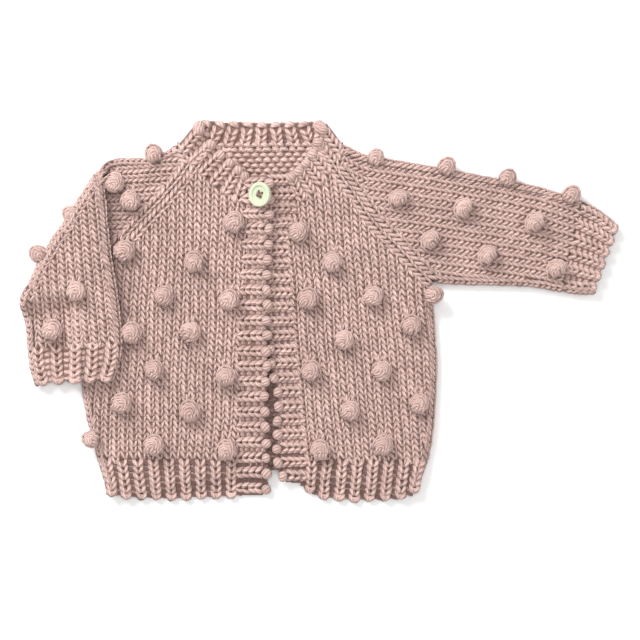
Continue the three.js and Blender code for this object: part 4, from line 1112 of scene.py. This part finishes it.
def paint_shade_beside_fold(piece, strength, reach):
    """Paint shade onto the wool in the corner beside the folded sleeve, where its shadow falls."""
    count = len(piece.data.vertices)
    places, hollow = np.empty(count * 3), np.empty(count)
    piece.data.vertices.foreach_get("co", places)
    layer = piece.data.attributes["hollow"].data
    layer.foreach_get("value", hollow)
    x, y = places.reshape(-1, 3)[:, :2].T / MM
    painted_fold_shadow = strength * (1 - settle(distance_to(BODY_EDGE, x, y), 0, reach))
    layer.foreach_set("value", hollow + painted_fold_shadow * (1 - hollow))


# Painted shadow of the folded sleeve, on its upper part and on the right front
paint_shade_beside_fold(upper_knit, 0.5, 24)
paint_shade_beside_fold(bpy.data.objects["right_front_knitting"], 0.4, 20)

# The bobbles: each is worked out of one stitch, a few rows wound up into a soft ball that
# stands on the knit side. They are set in staggered rows over the fronts and the sleeves.
# An edge bobble also has its height and the angle that it leans at.
BOBBLES = {
    "right_front": [
        (-65.4, 66.9), (-69.2, 7.6), (-71.4, -50.2), (-71.4, -106.4), (-95.8, 36.5), (-98.8, -16.7),
        (-98.8, -76.8), (-118.6, 10.6), (-126.2, -45.6), (-126.2, -102.6), (-148.8, 45.2),
        (-143.4, -17.5), (-151.2, -70.7), (-174.5, -98.4, 10.4, 75)],
    "left_front": [
        (-16.4, 59.3), (-9.1, 8.4), (-6.8, -46.4), (0, -106.4), (9.1, 36.5), (18.2, -22.8),
        (22.8, -76.8), (40.3, 10.6), (47.1, -46.4), (47.9, -102.6), (69.2, -11.4), (75.2, -71.4),
        (86.5, 11.6, 10.4, -80)],
    "right_sleeve_upper": [(-156.6, 97), (-144.4, 83.4), (-126.9, 119.3, 7, 20)],
    "right_sleeve_lower": [
        (-189.6, 73.2, 9, 60), (-214.6, 43, 9, 60), (-184.7, 13.7), (-203.7, -15.2)],
    "left_sleeve": [
        (42.6, 116.4, 7, -20), (96.5, 109.6, 7, -30), (142.9, 100.6, 7, -30), (191.6, 88, 7, -35),
        (59.3, 85.1), (108.7, 77.5), (163.4, 66.9), (83.6, 53.2), (126.9, 41.8), (179.6, 31.9)],
}
SURFACES = {
    "right_front": front_top(right_base), "left_front": front_top(left_base),
    "right_sleeve_upper": upper_over, "right_sleeve_lower": folded_over, "left_sleeve": left_over,
}


def bobble(centre, across, along, out, radii):
    """An egg of wool: arches one inside the other over the top, and short strands below them.

    Its radii are half its width, half its length, and how far it stands out."""
    wide, tall, high = radii
    v = np.linspace(-0.97, 0.97, 7)
    girth = np.sqrt(1 - v ** 2)
    parts = strand_along(centre + (tall * v)[:, None] * along, np.tile(-across, (7, 1)),
                         np.tile(out, (7, 1)), 0.9 * wide * girth, 0.86 * high * girth, 0.3,
                         painted_shade_ends=0.9, girth=8, under=0.5)
    focus = np.array([rng.uniform(-0.15, 0.25), -0.3])
    paths = []
    arches = 4 if wide < 7.2 else 5
    for i in range(arches):
        share = (i + 0.7 + rng.uniform(-0.1, 0.1)) / arches
        turn = np.radians(np.linspace(-14 - rng.uniform(0, 20), 194 + rng.uniform(0, 20), 9))
        ray = np.column_stack([np.cos(turn), np.sin(turn)])
        inner = ray @ focus
        reach = -inner + np.sqrt(inner ** 2 + 1 - focus @ focus)
        paths.append((focus + (share * reach)[:, None] * ray, 1.5))
    for x in np.linspace(-0.56, 0.56, arches):
        x = x + rng.uniform(-0.09, 0.09)
        y = np.linspace(-0.08, -0.96, 5) + rng.uniform(-0.1, 0.1)
        paths.append((np.column_stack([x * (1 + 0.35 * (y + 0.25)), y]), 1.55))
    for plan, half in paths:
        plan = plan + rng.uniform(-0.03, 0.03, 2)
        plan /= np.maximum(np.linalg.norm(plan, axis=1) / 0.985, 1)[:, None]
        rise = np.sqrt(1 - np.sum(plan ** 2, 1))
        pear = wide * (1 - 0.16 * plan[:, 1:])
        path = (centre + pear * plan[:, :1] * across + tall * plan[:, 1:] * along
                + (high * rise)[:, None] * out)
        radial = (plan[:, :1] / wide * across + plan[:, 1:] / tall * along
                  + (rise / high)[:, None] * out)
        radial /= np.linalg.norm(radial, axis=1)[:, None]
        aside = np.cross(np.gradient(path, axis=0), radial)
        aside /= np.linalg.norm(aside, axis=1)[:, None]
        taper = np.ones(len(path))
        taper[[0, -1]] = 0.5
        # The strands' tone keeps to the darker part of its range, painted shade against the light that
        # the bobbles' tops catch
        parts += strand_along(path, aside, radial, half * rng.uniform(0.9, 1.1) * taper, taper,
                              rng.uniform(0, 0.6), under=0.7)
    return parts


EDGE_BOBBLE = (6.5, 7.4, 6.0)
LEFT_SLEEVE_BOBBLE = (8.5, 7.0, 6.3)
BOBBLE = (7.5, 8.4, 6.3)
DRAWN_STRAND = line((2.9, 13), (2.5, 10.5), (2.0, 8), (1.6, 5.0))
UP = np.array([0, 0, 1.0])
for place, bobbles in BOBBLES.items():
    lean, usual_size = (-55, 20), BOBBLE
    if place == "left_sleeve":
        lean, usual_size = (10, 50), LEFT_SLEEVE_BOBBLE
    parts = []
    for x, y, *rest in bobbles:
        z, angle = rest or (float(SURFACES[place](x, y)) + 2.6, rng.uniform(*lean))
        turn = math.radians(angle)
        run = np.array([-math.sin(turn), math.cos(turn), 0])
        aside = np.array([math.cos(turn), math.sin(turn), 0])
        size = rng.uniform(0.93, 1.07) * np.array(EDGE_BOBBLE if rest else usual_size)
        parts += bobble(np.array([x, y, z]), aside, run, UP, size)
        if rest or place == "left_sleeve":
            continue
        for hand in (-1, 1):
            spots = DRAWN_STRAND * (hand, 1) + (x, y)
            path = np.column_stack([spots, SURFACES[place](*spots.T) + (-1.0, -0.5, 0.1, 0.9)])
            parts += strand_along(path, np.tile((-1.0, 0, 0), (4, 1)), np.tile(UP, (4, 1)),
                                  np.array([0.9, 1.4, 1.5, 1.0]), np.array([0.6, 1.1, 1.1, 0.8]),
                                  rng.uniform(0.2, 1))
    knitted(f"{place}_bobbles", parts)

# The button: a dished disc of pale green plastic with a raised rim and four holes, sewn to the
# left band and pushed through the buttonhole, so that it stands tipped up on its right side
BUTTON_TILT = math.radians(32)
BUTTON_PLACE = np.array([-0.0456, 0.0878, 0.0162])
BUTTON_RADIUS = 0.0093
BUTTON_THICK = 0.0028
HOLE_RING = 0.0023
HOLE_RADIUS = 0.00115
HOLE_TURN = 20


def only_this(piece):
    bpy.ops.object.select_all(action="DESELECT")
    piece.select_set(True)
    bpy.context.view_layer.objects.active = piece


def faces_where(piece, test):
    """In edit mode, select just the faces whose middle and normal pass the test."""
    bpy.ops.object.mode_set(mode="EDIT")
    bpy.ops.mesh.select_mode(type="FACE")
    bpy.ops.mesh.select_all(action="DESELECT")
    bpy.ops.object.mode_set(mode="OBJECT")
    for face in piece.data.polygons:
        face.select = test(face.center, face.normal)
    bpy.ops.object.mode_set(mode="EDIT")


bpy.ops.object.select_all(action="DESELECT")
bpy.ops.mesh.primitive_cylinder_add(vertices=72, radius=BUTTON_RADIUS, depth=BUTTON_THICK,
                                    location=(0, 0, BUTTON_THICK / 2))
button = bpy.context.object
button.name = "button_disc"
faces_where(button, lambda middle, normal: normal.z > 0.9)
bpy.ops.mesh.inset(thickness=0.0026, depth=0)
bpy.ops.mesh.inset(thickness=0.0006, depth=-0.0010)
bpy.ops.object.mode_set(mode="OBJECT")
bpy.ops.object.select_all(action="DESELECT")
hole_punches = []
for k in range(4):
    angle = math.radians(HOLE_TURN + 90 * k)
    bpy.ops.mesh.primitive_cylinder_add(
        vertices=24, radius=HOLE_RADIUS, depth=0.01,
        location=(HOLE_RING * math.cos(angle), HOLE_RING * math.sin(angle), 0))
    hole_punches.append(bpy.context.object)
for punch in hole_punches:
    only_this(button)
    drill = button.modifiers.new("hole", "BOOLEAN")
    drill.operation = "DIFFERENCE"
    drill.solver = "EXACT"
    drill.object = punch
    bpy.ops.object.modifier_apply(modifier=drill.name)
    bpy.data.objects.remove(punch)
edge = button.modifiers.new("soft_edges", "BEVEL")
edge.width = 0.00055
edge.segments = 4
edge.limit_method = "ANGLE"
edge.angle_limit = math.radians(30)
only_this(button)
bpy.ops.object.modifier_apply(modifier=edge.name)
bpy.ops.object.shade_smooth_by_angle(angle=math.radians(40))


def set_on_band(piece):
    """Tip the piece up on its right side and put it at the buttonhole."""
    piece.rotation_euler = (0, -BUTTON_TILT, 0)
    piece.location = BUTTON_PLACE
    only_this(piece)
    bpy.ops.object.transform_apply(location=True, rotation=True, scale=True)


set_on_band(button)
pale_plastic = bpy.data.materials.new("pale_green_plastic")
pale_plastic.use_nodes = True
tree = pale_plastic.node_tree
finish = tree.nodes["Principled BSDF"]
place = add_node(tree, "TexCoord")
swirl = add_node(tree, "TexNoise", {"Vector": place.outputs["Object"], "Scale": 260.0, "Detail": 3.0,
                                    "Distortion": 1.2})
tint = add_node(tree, "Mix", {"Factor": swirl.outputs["Fac"], "A": (0.53, 0.59, 0.41, 1),
                              "B": (0.63, 0.67, 0.51, 1)}, data_type="RGBA")
tree.links.new(tint.outputs["Result"], finish.inputs["Base Color"])
grain = add_node(tree, "Bump", {"Height": swirl.outputs["Fac"], "Strength": 0.08, "Distance": 0.0003})
tree.links.new(grain.outputs["Normal"], finish.inputs["Normal"])
finish.inputs["Roughness"].default_value = 0.32
finish.inputs["Coat Weight"].default_value = 0.25
finish.inputs["Subsurface Weight"].default_value = 0.15
finish.inputs["Subsurface Radius"].default_value = (0.002, 0.002, 0.001)
button.data.materials.append(pale_plastic)
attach(button, "root")
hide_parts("button")

# The sewing thread: brown-rose, four legs through the holes that cross on the dish and a wound
# shank that goes down to the left band
thread = wool("brown_rose_thread", (0.33, 0.19, 0.155, 1), (0.16, 0.085, 0.07, 1),
              (0.07, 0.035, 0.03, 1), plies=2, bump=0.3)
SHANK_FOOT = 9.0
SHANK_TURN = 0.78
SHANK_RADIUS = 1.3
SHANK_TURNS = 9


def on_button(points):
    """Points in millimetres on the upright button, tipped with it and moved to its place."""
    cos, sin = math.cos(BUTTON_TILT), math.sin(BUTTON_TILT)
    return points @ np.array([[cos, 0, sin], [0, 1, 0], [-sin, 0, cos]]) + BUTTON_PLACE / MM


def thread_strand(path, radius):
    path = np.asarray(path, float)
    course = np.gradient(path, axis=0)
    course /= np.linalg.norm(course, axis=1)[:, None]
    guess = np.array([0.3, 0.9, 0.2])
    aside = np.cross(course, guess)
    aside /= np.linalg.norm(aside, axis=1)[:, None]
    out = np.cross(aside, course)
    radii = np.full(len(path), radius)
    return strand_along(path, -aside, out, radii, radii, rng.uniform(0.3, 1), under=0.1)


parts = []
for k in range(2):
    for shift in (-0.32, 0.32):
        angle = math.radians(HOLE_TURN + 90 * k)
        reach = np.array([-2.3, -2.2, -1.7, -0.8, 0, 0.8, 1.7, 2.2, 2.3])
        height = np.array([-0.8, 1.4, 2.35, 2.75, 2.9 + 0.5 * k, 2.75, 2.35, 1.4, -0.8])
        ahead = np.array([math.cos(angle), math.sin(angle)])
        beside_it = np.array([-ahead[1], ahead[0]]) * shift
        path = np.column_stack([reach[:, None] * ahead + beside_it, height])
        parts += thread_strand(on_button(path), 0.42)
for k in range(SHANK_TURNS):
    angle = np.linspace(0, 2 * math.pi, 13) + k
    ring = BUTTON_PLACE[:2] / MM + SHANK_RADIUS * np.column_stack([np.cos(angle), np.sin(angle)])
    z = SHANK_FOOT + SHANK_TURN * (k + np.linspace(0, 1, 13))
    parts += thread_strand(np.column_stack([ring, z]), 0.48)
stitches = knitted("button_sewing", parts, thread)
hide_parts("button_thread")

size = {"cad": cad_box, "visual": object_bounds()}
